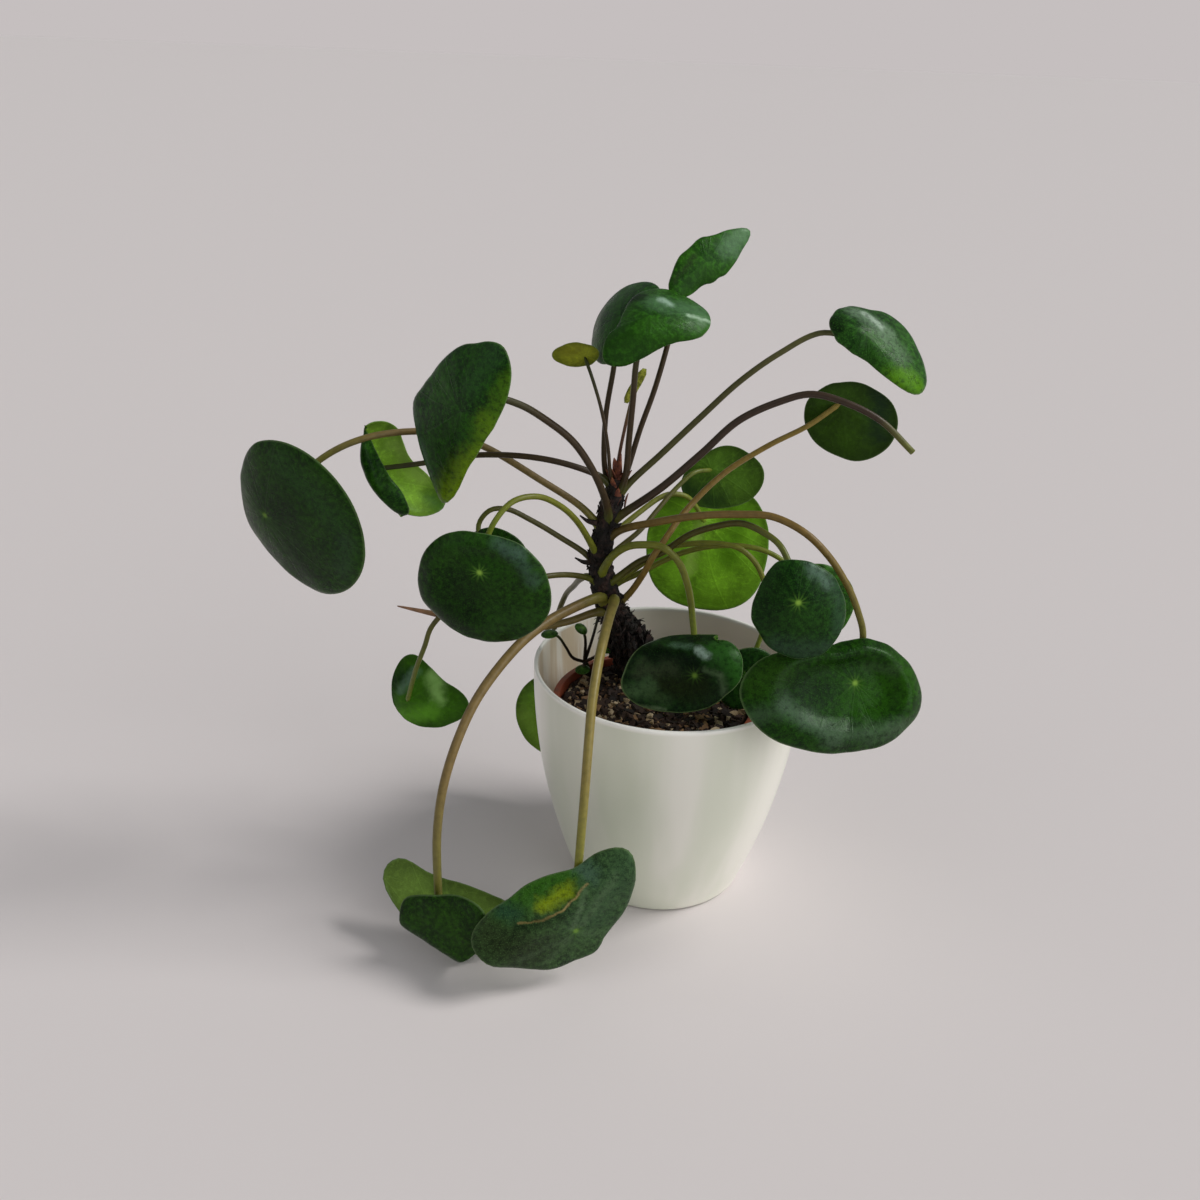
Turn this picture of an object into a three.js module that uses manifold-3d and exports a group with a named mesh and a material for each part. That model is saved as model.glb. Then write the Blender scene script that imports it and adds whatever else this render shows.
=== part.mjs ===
// A potted pilea: a leaning bare trunk with long-stalked round leaves, in a nursery pot of soil that
// stands inside a smooth white outer pot.
// Millimetres, +Z up. The origin is the centre of the outer pot's flat base, on the table.
import * as THREE from 'three';
import { mergeVertices } from 'three/addons/utils/BufferGeometryUtils.js';
import Module from 'manifold-3d';

// ---------------------------------------------------------------- driving dimensions
const GAP = 0.3; // left between two pieces that touch

const POT_HEIGHT = 138;
const POT_RIM_RADIUS = 78;
const POT_BASE_RADIUS = 51;
const POT_WALL = 2.4;
const POT_FLOOR = 3;
const POT_EDGE = 2.5; // rounding where the wall meets the base
const POT_LIP = 1; // rounding of the rim
const POT_SIDES = 48;
const POT_STEPS = 7;

const NURSERY_CENTRE = [-7, -6];
const NURSERY_HEIGHT = 114;
const NURSERY_RIM_RADIUS = 57;
const NURSERY_BASE_RADIUS = 38;
const NURSERY_WALL = 1.5;
const NURSERY_LIP = 2.5; // how far the rolled lip stands out
const NURSERY_LIP_DEPTH = 6;
const NURSERY_BEVEL = 1;
const NURSERY_SIDES = 32;

const SOIL_DROP = 4; // from the nursery pot's lip down to the soil
const SOIL_RELIEF = 1.6;
const SOIL_RINGS = 5;
const SOIL_CLEARANCE = 0.7; // to the nursery pot's wall

const TRUNK_TOP = 247;
const TRUNK_SIDES = 12;
const TRUNK_STEP = 5.5; // between the rings of leaf scars
const SCAR_HEIGHT = 0.5; // how far a ring of scars stands out
const SCAR_DEPTH = 0.3; // how far the bark between two rings is drawn in
const BARK_UNEVEN = 0.08; // share of the stem's radius
const APEX_LENGTH = 15;
const APEX_SIDES = 10;
const APEX_LEVELS = [[0.6, 3.4], [3, 3.6], [7, 2.6], [11, 1.6], [14, 0.7]]; // height, radius
const APEX_TWIST = 0.3; // from level to level, in sides
const APEX_RIDGE = 1.15;
const APEX_HOLLOW = 0.8;

const BLADE_THICKNESS = 1;
const BLADE_RINGS = [0.34, 0.68, 1];
const BLADE_SIDES = 20;
const FOLDED_BLADE_RINGS = [0.3, 0.55, 0.78, 1];
const FOLDED_BLADE_SIDES = 28;
const SMALL_BLADE_SIDES = 10;
const SMALL_BLADE_RINGS = [0.6, 1];

const STALK_SIDES = 6;
const STALK_STEP = 14;
const FEWEST_STALK_STEPS = 3;

const RIDGE_AT = 0.74; // share of the way from the navel to the edge
const RIDGE_WIDTH = 0.2;

const MERGE_DISTANCE = 1e-4;

// ---------------------------------------------------------------- trunk
// Points up the trunk's middle, with the bare stem's radius there: it leans forward out of the soil,
// thick with old roots at the foot, then stands upright.
const TRUNK = [
  { at: [-17, 32, 102], radius: 8 },
  { at: [-17, 32, 116], radius: 10 },
  { at: [-20, 27, 131], radius: 11 },
  { at: [-25, 19, 147], radius: 11 },
  { at: [-33, 11, 165], radius: 8 },
  { at: [-39, 8, 182], radius: 7.5 },
  { at: [-42, 8, 200], radius: 6.5 },
  { at: [-40, 8, 216], radius: 6 },
  { at: [-37, 8, 232], radius: 6.3 },
  { at: [-34, 8, TRUNK_TOP], radius: 4.5 },
];

// ---------------------------------------------------------------- leaves
// Each leaf is a round blade held near its middle, at the navel, by a long stalk.
//   navel   where the stalk meets the blade
//   faces   where the blade's upper face looks: azimuth from the front towards +X, elevation
//   rim     distance from navel to edge in the directions of a clock's 12 hours or 24 half hours,
//           seen from above
//   cup     how far the edge stands above the navel (below it when negative)
//   ridge   how far a round swelling between the navel and the edge stands up, where there is one
//   folds   bends of the blade: towards a clock angle, from a distance, round a radius, by an angle
//           (positive towards the upper face)
//   stalk   points along the stalk from the trunk's middle, without its end at the navel
//   thick   stalk radius at the trunk and at the blade
const LEAVES = [
  {
    name: 'leaf_01',
    navel: [-220, -25, 230],
    faces: [-30, -10],
    rim: [40, 50, 59, 63, 60, 53, 38, 29, 25, 22, 23, 29],
    cup: -5,
    folds: [],
    stalk: [[-41, 8, 215], [-52, 8, 228], [-77, 9, 244], [-107, 10, 261], [-125, 9, 267], [-141, 5, 270],
      [-169, -8, 269], [-192, -14, 258]],
    thick: [2, 1.7],
  },
  {
    name: 'leaf_02',
    navel: [-113, -44, 296],
    faces: [-42, 5],
    rim: [
      33, 37, 40, 37, 30, 24, 20, 18, 17, 17, 19, 23,
      31, 53, 59, 64, 64, 56, 42, 35, 32, 31, 31, 32,
    ],
    cup: -6,
    folds: [{ toward: 245, at: 38, radius: 14, angle: -40 }],
    stalk: [[-38, 6, 220], [-39, 0, 232], [-46, -8, 253], [-58, -14, 273], [-72, -20, 286], [-86, -27, 296],
      [-100, -36, 301]],
    thick: [2.1, 1.8],
  },
  {
    name: 'leaf_03',
    navel: [-172, 4, 247],
    faces: [-95, -20],
    rim: [
      22, 22, 22, 17, 14, 13, 13, 14, 17, 26, 34, 31,
      26, 30, 43, 50, 38, 28, 25, 26, 29, 29, 27, 24,
    ],
    cup: -10,
    folds: [
      { toward: 90, at: 1, radius: 8, angle: -70 },
      { toward: 270, at: 1, radius: 8, angle: -45 },
    ],
    stalk: [[-36, 8, 238], [-41, 7, 246], [-58, 4, 254], [-82, 2, 259], [-113, 4, 258], [-143, 7, 251]],
    thick: [1.8, 1.4],
  },
  {
    name: 'leaf_04',
    navel: [-103, -58, 216],
    faces: [-12, 0],
    rim: [20, 22, 28, 35, 41, 42, 41, 40, 39, 34, 28, 23],
    cup: -4,
    ridge: 2.5,
    folds: [],
    stalk: [[-42, 8, 197], [-46, 3, 207], [-55, -7, 226], [-64, -16, 238], [-76, -27, 247],
      [-88, -36, 247], [-96, -41, 239], [-101, -44, 228]],
    thick: [1.9, 1.4],
  },
  {
    name: 'leaf_05',
    navel: [-103, -14, 204],
    faces: [-10, 5],
    rim: [18, 19, 21, 22, 23, 24, 25, 24, 22, 20, 18, 17],
    cup: -3,
    folds: [],
    stalk: [[-42, 8, 190], [-49, 8, 200], [-65, 5, 212], [-81, 1, 223], [-94, -2, 230], [-103, -5, 230],
      [-109, -7, 222], [-107, -9, 212]],
    thick: [1.7, 1.3],
  },
  {
    name: 'leaf_06',
    navel: [-151, -8, 111],
    faces: [172, -10],
    rim: [27, 18, 12, 10, 10, 11, 14, 19, 27, 36, 25, 24],
    cup: 3,
    folds: [],
    stalk: [[-39, 8, 180], [-47, 3, 188], [-57, -4, 193], [-69, -13, 196], [-86, -24, 196], [-106, -29, 191],
      [-122, -29, 182], [-133, -28, 169], [-137, -27, 157], [-143, -22, 140]],
    thick: [1.7, 1.3],
  },
  {
    name: 'leaf_07',
    navel: [-121, -101, 13],
    faces: [-110, -68],
    rim: [
      23, 22, 28, 38, 41, 44, 50, 52, 44, 28, 17, 14,
      14, 20, 30, 40, 43, 38, 35, 34, 35, 40, 52, 48,
    ],
    cup: 0,
    folds: [
      { toward: 90, at: 1, radius: 9, angle: -95 },
      { toward: 270, at: 1, radius: 9, angle: -45 },
    ],
    stalk: [[-38, 8, 171], [-41, 0, 178], [-62, -21, 177], [-78, -38, 172], [-91, -54, 163],
      [-104, -70, 148], [-113, -82, 129], [-119, -91, 108], [-122, -97, 83], [-122, -99, 50]],
    thick: [3, 2.1],
  },
  {
    name: 'leaf_08',
    navel: [-47, -118, 39],
    faces: [20, -5],
    rim: [
      38, 47, 53, 44, 35, 28, 23, 20, 19, 21, 22, 22,
      23, 26, 29, 32, 38, 49, 56, 50, 42, 39, 37, 36,
    ],
    cup: 0,
    folds: [{ toward: 325, at: 12, radius: 12, angle: -45 }],
    stalk: [[-36, 9, 170], [-33, 0, 177], [-36, -26, 177], [-40, -52, 168], [-43, -74, 153], [-44, -87, 138],
      [-45, -98, 114], [-46, -104, 92], [-47, -106, 70]],
    thick: [2.9, 2.2],
  },
  {
    name: 'leaf_09',
    navel: [-67, 66, 65],
    faces: [165, -10],
    rim: [25, 25, 26, 28, 30, 32, 32, 32, 28, 26, 26, 25],
    cup: 3,
    folds: [],
    stalk: [[-40, 9, 179], [-48, 15, 184], [-53, 25, 178], [-57, 40, 167], [-63, 56, 152], [-69, 62, 128],
      [-70, 61, 95]],
    thick: [1.9, 1.5],
  },
  {
    name: 'leaf_10',
    navel: [-22, -18, 341],
    faces: [8, 55],
    rim: [
      23, 26, 28, 29, 31, 33, 32, 28, 24, 20, 19, 19,
      21, 25, 31, 34, 27, 18, 15, 14, 14, 15, 17, 20,
    ],
    cup: -6,
    folds: [{ toward: 190, at: 3, radius: 14, angle: -50 }],
    stalk: [[-34, 7, 236], [-30, 3, 249], [-29, 0, 271], [-28, -5, 294], [-27, -10, 318]],
    thick: [1.8, 1.5],
  },
  {
    name: 'leaf_11',
    navel: [-36, 8, 335],
    faces: [-60, 35],
    rim: [24, 22, 18, 14, 14, 18, 24, 28, 31, 34, 32, 27],
    cup: -8,
    folds: [],
    stalk: [[-36, 10, 236], [-41, 13, 249], [-42, 14, 278], [-39, 12, 304], [-37, 10, 320]],
    thick: [1.6, 1.4],
  },
  {
    name: 'leaf_12',
    navel: [7, 22, 362],
    faces: [20, 20],
    rim: [
      13, 14, 17, 24, 32, 23, 18, 15, 13, 11, 11, 11,
      11, 13, 19, 25, 24, 19, 16, 14, 12, 11, 11, 12,
    ],
    cup: -2,
    folds: [],
    stalk: [[-34, 9, 236], [-29, 12, 250], [-23, 14, 273], [-16, 18, 295], [-10, 22, 320],
      [-7, 28, 337], [-1, 30, 350]],
    thick: [1.6, 1.4],
  },
  {
    name: 'leaf_13',
    navel: [-54, 2, 315],
    faces: [180, 25],
    rim: [8, 10, 13, 17, 12, 8, 6, 6, 6, 7, 8, 8],
    cup: 0,
    folds: [],
    stalk: [[-35, 9, 240], [-38, 3, 250], [-40, 2, 266], [-44, 0, 286], [-49, 0, 302]],
    thick: [1, 0.9],
    small: true,
  },
  {
    name: 'leaf_14',
    navel: [87, -12, 336],
    faces: [30, 45],
    rim: [
      19, 20, 21, 23, 28, 32, 35, 37, 40, 43, 40, 24,
      15, 12, 11, 11, 11, 12, 14, 15, 17, 18, 18, 19,
    ],
    cup: -6,
    folds: [],
    stalk: [[-36, 8, 232], [-28, 7, 244], [-12, 4, 262], [8, 0, 285], [27, -3, 306], [46, -5, 322],
      [66, -4, 333]],
    thick: [1.9, 1.4],
  },
  {
    name: 'leaf_15',
    navel: [84, 15, 292],
    faces: [165, 10],
    rim: [12, 12, 13, 17, 21, 26, 31, 36, 35, 29, 20, 15],
    cup: 0,
    folds: [],
    stalk: [[-36, 11, 164], [-25, 8, 177], [-18, 1, 192], [-12, -9, 210], [-7, -8, 218], [0, -1, 227],
      [8, 6, 235], [17, 10, 244], [28, 14, 253], [49, 16, 267], [68, 14, 279]],
    thick: [2, 1.4],
  },
  {
    name: 'leaf_16',
    navel: [21, 72, 200],
    faces: [180, -10],
    rim: [18, 20, 26, 32, 40, 52, 56, 58, 46, 38, 32, 22],
    cup: 0,
    folds: [],
    stalk: [[-42, 9, 196], [-40, 17, 203], [-20, 34, 218], [-4, 46, 225], [7, 50, 223], [14, 54, 215],
      [18, 60, 206]],
    thick: [1.8, 1.4],
  },
  {
    name: 'leaf_17',
    navel: [22, 62, 236],
    faces: [178, -10],
    rim: [12, 10, 12, 14, 20, 23, 23, 25, 30, 31, 23, 17],
    cup: 0,
    folds: [],
    stalk: [[-41, 8, 191], [-36, 12, 199], [-20, 22, 211], [-9, 34, 221], [0, 44, 229], [11, 52, 237]],
    thick: [1.6, 1.3],
  },
  {
    name: 'leaf_18',
    navel: [58, -73, 213],
    faces: [0, 8],
    rim: [
      20, 20, 20, 21, 22, 23, 25, 27, 29, 31, 33, 33,
      32, 30, 28, 26, 25, 23, 21, 20, 20, 21, 22, 21,
    ],
    cup: -7,
    folds: [],
    stalk: [[-40, 8, 181], [-33, 4, 188], [-20, 0, 201], [-8, -5, 209], [6, -12, 223], [19, -21, 232],
      [31, -31, 238], [41, -42, 238], [49, -52, 235], [54, -59, 227]],
    thick: [2, 1.6],
  },
  {
    name: 'leaf_19',
    navel: [77, -10, 183],
    faces: [5, 10],
    rim: [23, 24, 25, 25, 24, 23, 23, 23, 23, 22, 22, 22],
    cup: -2,
    folds: [],
    stalk: [[-39, 9, 175], [-32, 13, 181], [-19, 12, 189], [-6, 12, 197], [6, 10, 204], [22, 8, 209],
      [38, 7, 210], [53, 6, 207], [66, 3, 199]],
    thick: [1.7, 1.4],
  },
  {
    name: 'leaf_20',
    navel: [94, -64, 164],
    faces: [12, 25],
    rim: [
      23, 24, 25, 27, 29, 32, 35, 38, 39, 38, 37, 36,
      36, 38, 41, 46, 53, 60, 63, 55, 40, 29, 24, 23,
    ],
    cup: 0,
    ridge: 6,
    folds: [],
    stalk: [[-41, 8, 208], [-32, 3, 218], [-15, -7, 227], [8, -20, 237], [30, -31, 243], [46, -38, 245],
      [62, -46, 240], [75, -50, 229], [86, -52, 214], [93, -52, 200], [98, -51, 184]],
    thick: [2.2, 1.7],
  },
  {
    name: 'leaf_21',
    navel: [12, -42, 153],
    faces: [-10, 15],
    rim: [
      27, 27, 28, 29, 27, 24, 22, 20, 19, 18, 18, 18,
      19, 21, 24, 29, 36, 40, 37, 33, 31, 31, 30, 28,
    ],
    cup: 5,
    folds: [
      { toward: 350, at: 4, radius: 9, angle: -80 },
      { toward: 75, at: 15, radius: 7, angle: -55 },
    ],
    stalk: [[-41, 8, 187], [-40, 0, 195], [-35, -5, 206], [-27, -10, 214], [-18, -14, 217], [-9, -16, 217],
      [0, -17, 210], [7, -17, 194], [11, -17, 173], [13, -23, 159], [13, -33, 153]],
    thick: [2.3, 1.7],
  },
  {
    name: 'leaf_22',
    navel: [44, -22, 143],
    faces: [10, 20],
    rim: [16, 17, 18, 19, 19, 18, 18, 20, 20, 18, 16, 16],
    cup: 0,
    folds: [],
    stalk: [[-40, 9, 178], [-33, 9, 184], [-19, 7, 196], [-6, 4, 208], [8, 0, 213], [21, -3, 215],
      [34, -6, 214], [44, -8, 206], [51, -9, 190], [52, -9, 169]],
    thick: [1.7, 1.4],
  },
];

// A young leaf, still narrow and folded, on a thin stalk from the top of the trunk.
const YOUNG_LEAF = {
  navel: [-27, 5, 299],
  faces: [20, 0],
  rim: [5, 11, 5, 3, 2.5, 3, 5, 10, 5, 3, 2.5, 3],
  cup: 0,
  folds: [],
  stalk: [[-35, 13, 238], [-34, 16, 254], [-31, 12, 276]],
  thick: [1, 0.9],
  small: true,
};

// A plantlet from the roots: thin shoots that part just above the soil, each with a small round blade.
const PUP_FOOT = { stalk: [[-45, 27, 103], [-46, 26, 114], [-49, 24, 125]], thick: [2.2, 1.6] };
const PUP_PARTING = [-49, 24, 124];
const PUP_SHOOTS = [
  {
    stalk: [PUP_PARTING, [-56, 21, 128], [-60, 18, 136], [-65, 15, 145]],
    navel: [-70, 12, 149],
    faces: [-60, 84],
    radius: 5,
  },
  {
    stalk: [PUP_PARTING, [-49, 22, 141]],
    navel: [-51, 20, 149],
    faces: [60, 58],
    radius: 4.2,
  },
  {
    stalk: [PUP_PARTING, [-45, 26, 138]],
    navel: [-41, 29, 156],
    faces: [20, 76],
    radius: 3,
  },
  {
    stalk: [PUP_PARTING, [-44, 20, 129], [-40, 16, 134]],
    navel: [-36, 13, 139],
    faces: [-30, 74],
    radius: 2.8,
  },
  {
    stalk: [PUP_PARTING, [-49, 21, 124]],
    navel: [-50, 18, 123],
    faces: [-20, 78],
    radius: 4.5,
  },
];
const PUP_SHOOT_THICK = [0.9, 0.8];
const PUP_CUP = -1;

// Two stalks have lost their blades: one dried to a point, one cut short.
const BARE_STALKS = [
  {
    name: 'stalk_dry',
    stalk: [[-35, 10, 165], [-44, 1, 168], [-59, -6, 165], [-80, -12, 163], [-107, -20, 169],
      [-130, -26, 176], [-151, -30, 182]],
    thick: [2.3, 1.5],
  },
  {
    name: 'stalk_cut',
    stalk: [[-39, 8, 219], [-30, 4, 228], [-11, -4, 246], [9, -10, 268], [27, -16, 289], [47, -20, 301],
      [61, -23, 306], [76, -26, 304], [96, -30, 296], [114, -34, 281]],
    thick: [2.3, 1.6],
  },
];

// ---------------------------------------------------------------- colours
const POT_LOOK = { color: 0xe9eadf, roughness: 0.35, metalness: 0 };
const NURSERY_LOOK = { color: 0x7d3f2a, roughness: 0.55, metalness: 0 };
const SOIL_LOOK = { color: 0x33241b, roughness: 0.95, metalness: 0 };
const BARK_LOOK = { color: 0x2a211c, roughness: 0.9, metalness: 0 };
const APEX_LOOK = { color: 0x6b3420, roughness: 0.8, metalness: 0 };
const BLADE_LOOK = { color: 0x28491f, roughness: 0.35, metalness: 0 };
const STALK_LOOK = { color: 0x7b6a3f, roughness: 0.5, metalness: 0 };
const YOUNG_LOOK = { color: 0x8a8f3a, roughness: 0.5, metalness: 0 };
const PUP_LOOK = { color: 0x3d5a26, roughness: 0.5, metalness: 0 };

// ---------------------------------------------------------------- helpers
const wasm = await Module();
wasm.setup();

const radians = THREE.MathUtils.degToRad;
const vector = (point) => new THREE.Vector3(...point);

// A repeatable uneven number between -1 and 1 for a whole number.
function uneven(seed) {
  const value = Math.sin(seed * 12.9898) * 43758.5453;
  return 2 * (value - Math.floor(value)) - 1;
}

// A closed three.js geometry as a solid for joining and cutting.
function solidOf(geometry) {
  const bare = geometry.clone();
  bare.deleteAttribute('normal');
  bare.deleteAttribute('uv');
  const merged = mergeVertices(bare, MERGE_DISTANCE);
  return new wasm.Manifold(new wasm.Mesh({
    numProp: 3,
    vertProperties: new Float32Array(merged.attributes.position.array),
    triVerts: new Uint32Array(merged.index.array),
  }));
}

// A solid back as a three.js geometry. Only its largest body is kept.
function geometryOf(solid) {
  const bodies = solid.decompose();
  bodies.sort((a, b) => b.volume() - a.volume());
  const mesh = bodies[0].getMesh();
  const geometry = new THREE.BufferGeometry();
  geometry.setAttribute('position', new THREE.BufferAttribute(mesh.vertProperties, 3));
  geometry.setIndex(new THREE.BufferAttribute(mesh.triVerts, 1));
  geometry.computeVertexNormals();
  return geometry;
}

function turned(profile, sides, x = 0, y = 0) {
  const points = profile.map(([radius, height]) => new THREE.Vector2(radius, height));
  const geometry = new THREE.LatheGeometry(points, sides);
  geometry.rotateX(Math.PI / 2);
  geometry.translate(x, y, 0);
  return geometry;
}

// A closed skin over rows of points: the first row and the last row close to one point each.
function skinOf(rows, start, end) {
  const sides = rows[0].length;
  const positions = [start, ...rows.flat(), end].flatMap((point) => point.toArray());
  const last = rows.length * sides + 1;
  const index = [];
  for (let side = 0; side < sides; side += 1) {
    const next = (side + 1) % sides;
    index.push(0, 1 + next, 1 + side);
    for (let row = 0; row < rows.length - 1; row += 1) {
      const a = 1 + row * sides + side;
      const b = 1 + row * sides + next;
      index.push(a, b, b + sides);
      index.push(a, b + sides, a + sides);
    }
    index.push(last, last - sides + side, last - sides + next);
  }
  const geometry = new THREE.BufferGeometry();
  geometry.setAttribute('position', new THREE.Float32BufferAttribute(positions, 3));
  geometry.setIndex(index);
  geometry.computeVertexNormals();
  return geometry;
}

// ---------------------------------------------------------------- pots and soil
function potRadius(height) {
  const below = 1 - height / POT_HEIGHT;
  return POT_RIM_RADIUS - (POT_RIM_RADIUS - POT_BASE_RADIUS) * below ** 2;
}

function outerPot() {
  const shoulder = POT_HEIGHT - POT_LIP;
  const outside = [];
  const inside = [];
  for (let step = 0; step <= POT_STEPS; step += 1) {
    const share = step / POT_STEPS;
    const up = POT_EDGE + (shoulder - POT_EDGE) * share;
    outside.push([potRadius(up), up]);
    const down = shoulder - (shoulder - POT_FLOOR) * share;
    inside.push([potRadius(down) - POT_WALL, down]);
  }
  const middle = POT_RIM_RADIUS - POT_WALL / 2;
  const rim = [[middle + POT_LIP / 2, POT_HEIGHT], [middle - POT_LIP / 2, POT_HEIGHT]];
  const foot = [[0, 0], [POT_BASE_RADIUS - POT_EDGE, 0], [POT_BASE_RADIUS - POT_EDGE / 5, POT_EDGE / 3]];
  return turned([...foot, ...outside, ...rim, ...inside, [0, POT_FLOOR]], POT_SIDES);
}

const NURSERY_FOOT = POT_FLOOR + GAP;
const NURSERY_TOP = NURSERY_FOOT + NURSERY_HEIGHT;
const SOIL_TOP = NURSERY_TOP - SOIL_DROP;

function nurseryRadius(height) {
  const share = (height - NURSERY_FOOT) / NURSERY_HEIGHT;
  return NURSERY_BASE_RADIUS + (NURSERY_RIM_RADIUS - NURSERY_BASE_RADIUS) * share;
}

function nurseryPot() {
  const lip = NURSERY_TOP - NURSERY_LIP_DEPTH;
  const floor = NURSERY_FOOT + NURSERY_WALL;
  return turned([
    [0, NURSERY_FOOT],
    [NURSERY_BASE_RADIUS, NURSERY_FOOT],
    [nurseryRadius(lip), lip],
    [nurseryRadius(lip) + NURSERY_LIP, lip + NURSERY_BEVEL],
    [NURSERY_RIM_RADIUS + NURSERY_LIP, NURSERY_TOP - NURSERY_BEVEL],
    [NURSERY_RIM_RADIUS + NURSERY_LIP - NURSERY_BEVEL, NURSERY_TOP],
    [NURSERY_RIM_RADIUS - NURSERY_WALL, NURSERY_TOP],
    [nurseryRadius(floor) - NURSERY_WALL, floor],
    [0, floor],
  ], NURSERY_SIDES, ...NURSERY_CENTRE);
}

// The soil fills the nursery pot. Its top is uneven, and has plain holes for what grows from it.
function soil(growing) {
  const base = NURSERY_FOOT + NURSERY_WALL + GAP;
  const sides = NURSERY_SIDES;
  const [x, y] = NURSERY_CENTRE;
  const topRadius = nurseryRadius(SOIL_TOP) - NURSERY_WALL - SOIL_CLEARANCE;
  const baseRadius = nurseryRadius(base) - NURSERY_WALL - SOIL_CLEARANCE;
  const rows = [];
  const row = (radius, heightAt) => {
    const points = [];
    for (let side = 0; side < sides; side += 1) {
      const angle = (2 * Math.PI * side) / sides;
      const out = new THREE.Vector3(radius * Math.cos(angle), radius * Math.sin(angle), heightAt(side));
      points.push(out.add(new THREE.Vector3(x, y, 0)));
    }
    rows.push(points);
  };
  row(baseRadius, () => base);
  row(topRadius, () => SOIL_TOP - SOIL_RELIEF);
  for (let ring = SOIL_RINGS - 1; ring > 0; ring -= 1) {
    const radius = (topRadius * ring) / SOIL_RINGS;
    row(radius, (side) => SOIL_TOP + SOIL_RELIEF * uneven(side + sides * ring));
  }
  const bottom = new THREE.Vector3(x, y, base);
  const top = new THREE.Vector3(x, y, SOIL_TOP);
  let filled = solidOf(skinOf(rows, bottom, top));
  for (const plant of growing) {
    filled = filled.subtract(plant);
  }
  return geometryOf(filled);
}

// ---------------------------------------------------------------- trunk and growing point
const trunkLine = new THREE.CatmullRomCurve3(TRUNK.map(({ at }) => vector(at)));

// The bark bulges between rings of old leaf scars and is uneven all round.
function trunkRadius(share, side, ring) {
  const place = share * (TRUNK.length - 1);
  const below = Math.min(Math.floor(place), TRUNK.length - 2);
  const stem = THREE.MathUtils.lerp(TRUNK[below].radius, TRUNK[below + 1].radius, place - below);
  const scar = ring % 2 === 0 ? SCAR_HEIGHT : -SCAR_DEPTH;
  return stem + scar + BARK_UNEVEN * stem * uneven(side + TRUNK_SIDES * ring);
}

function trunk(clearance) {
  const steps = 2 * Math.round(trunkLine.getLength() / (2 * TRUNK_STEP));
  const rows = [];
  for (let ring = 0; ring <= steps; ring += 1) {
    const share = ring / steps;
    const middle = trunkLine.getPoint(share);
    const points = [];
    for (let side = 0; side < TRUNK_SIDES; side += 1) {
      const angle = (2 * Math.PI * side) / TRUNK_SIDES;
      const radius = trunkRadius(share, side, ring) + clearance;
      points.push(new THREE.Vector3(
        middle.x + radius * Math.cos(angle),
        middle.y + radius * Math.sin(angle),
        middle.z,
      ));
    }
    rows.push(points);
  }
  const down = new THREE.Vector3(0, 0, -clearance);
  rows[0].forEach((point) => point.add(down));
  rows[steps].forEach((point) => point.sub(down));
  const foot = trunkLine.getPoint(0).add(down);
  const top = trunkLine.getPoint(1).sub(down);
  return skinOf(rows, foot, top);
}

// The growing point: a pointed bud wrapped in papery brown stipules.
function apex() {
  const base = vector(TRUNK[TRUNK.length - 1].at);
  const rows = APEX_LEVELS.map(([height, radius], level) => {
    const points = [];
    for (let side = 0; side < APEX_SIDES; side += 1) {
      const angle = (2 * Math.PI * (side + APEX_TWIST * level)) / APEX_SIDES;
      const wide = radius * (side % 2 === 0 ? APEX_RIDGE : APEX_HOLLOW);
      points.push(new THREE.Vector3(
        base.x + wide * Math.cos(angle),
        base.y + wide * Math.sin(angle),
        base.z + GAP + height,
      ));
    }
    return points;
  });
  const foot = new THREE.Vector3(base.x, base.y, base.z + GAP);
  const tip = new THREE.Vector3(base.x, base.y, base.z + GAP + APEX_LENGTH);
  return skinOf(rows, foot, tip);
}

// ---------------------------------------------------------------- blades
// Distance from navel to edge towards a clock angle, on a smooth curve through the rim's values.
function rimDistance(rim, angle) {
  const count = rim.length;
  const place = (((angle / 360) * count) % count + count) % count;
  const first = Math.floor(place);
  const share = place - first;
  const [a, b, c, d] = [-1, 0, 1, 2].map((step) => rim[(first + step + count) % count]);
  const slope = (c - a) / 2;
  const nextSlope = (d - b) / 2;
  const cube = 2 * b - 2 * c + slope + nextSlope;
  const square = -3 * b + 3 * c - 2 * slope - nextSlope;
  return ((cube * share + square) * share + slope) * share + b;
}

// A flat point (x to the right, y up, as seen facing the upper face) on the cupped and folded blade.
function bladePoint(leaf, x, y) {
  const angle = THREE.MathUtils.radToDeg(Math.atan2(x, y));
  const share = Math.hypot(x, y) / rimDistance(leaf.rim, angle);
  const ridge = (leaf.ridge ?? 0) * Math.exp(-(((share - RIDGE_AT) / RIDGE_WIDTH) ** 2));
  const point = new THREE.Vector3(x, y, leaf.cup * share ** 2 + ridge);
  for (const fold of leaf.folds) {
    const towards = new THREE.Vector3(Math.sin(radians(fold.toward)), Math.cos(radians(fold.toward)), 0);
    const past = point.dot(towards) - fold.at;
    if (past > 0) {
      const sign = Math.sign(fold.angle);
      const turn = Math.min(past / fold.radius, radians(Math.abs(fold.angle)));
      const straight = past - turn * fold.radius;
      const side = point.z * sign;
      const along = (fold.radius - side) * Math.sin(turn) + straight * Math.cos(turn);
      const lift = fold.radius - (fold.radius - side) * Math.cos(turn) + straight * Math.sin(turn);
      point.addScaledVector(towards, along - past);
      point.z = lift * sign;
    }
  }
  return point;
}

// The blade's own axes: right and up in its plane, and out of its upper face.
function bladeAxes({ faces: [azimuth, elevation] }) {
  const out = new THREE.Vector3(
    Math.sin(radians(azimuth)) * Math.cos(radians(elevation)),
    -Math.cos(radians(azimuth)) * Math.cos(radians(elevation)),
    Math.sin(radians(elevation)),
  );
  const up = new THREE.Vector3(0, 0, 1).addScaledVector(out, -out.z).normalize();
  const right = up.clone().cross(out);
  return new THREE.Matrix4().makeBasis(right, up, out);
}

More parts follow.
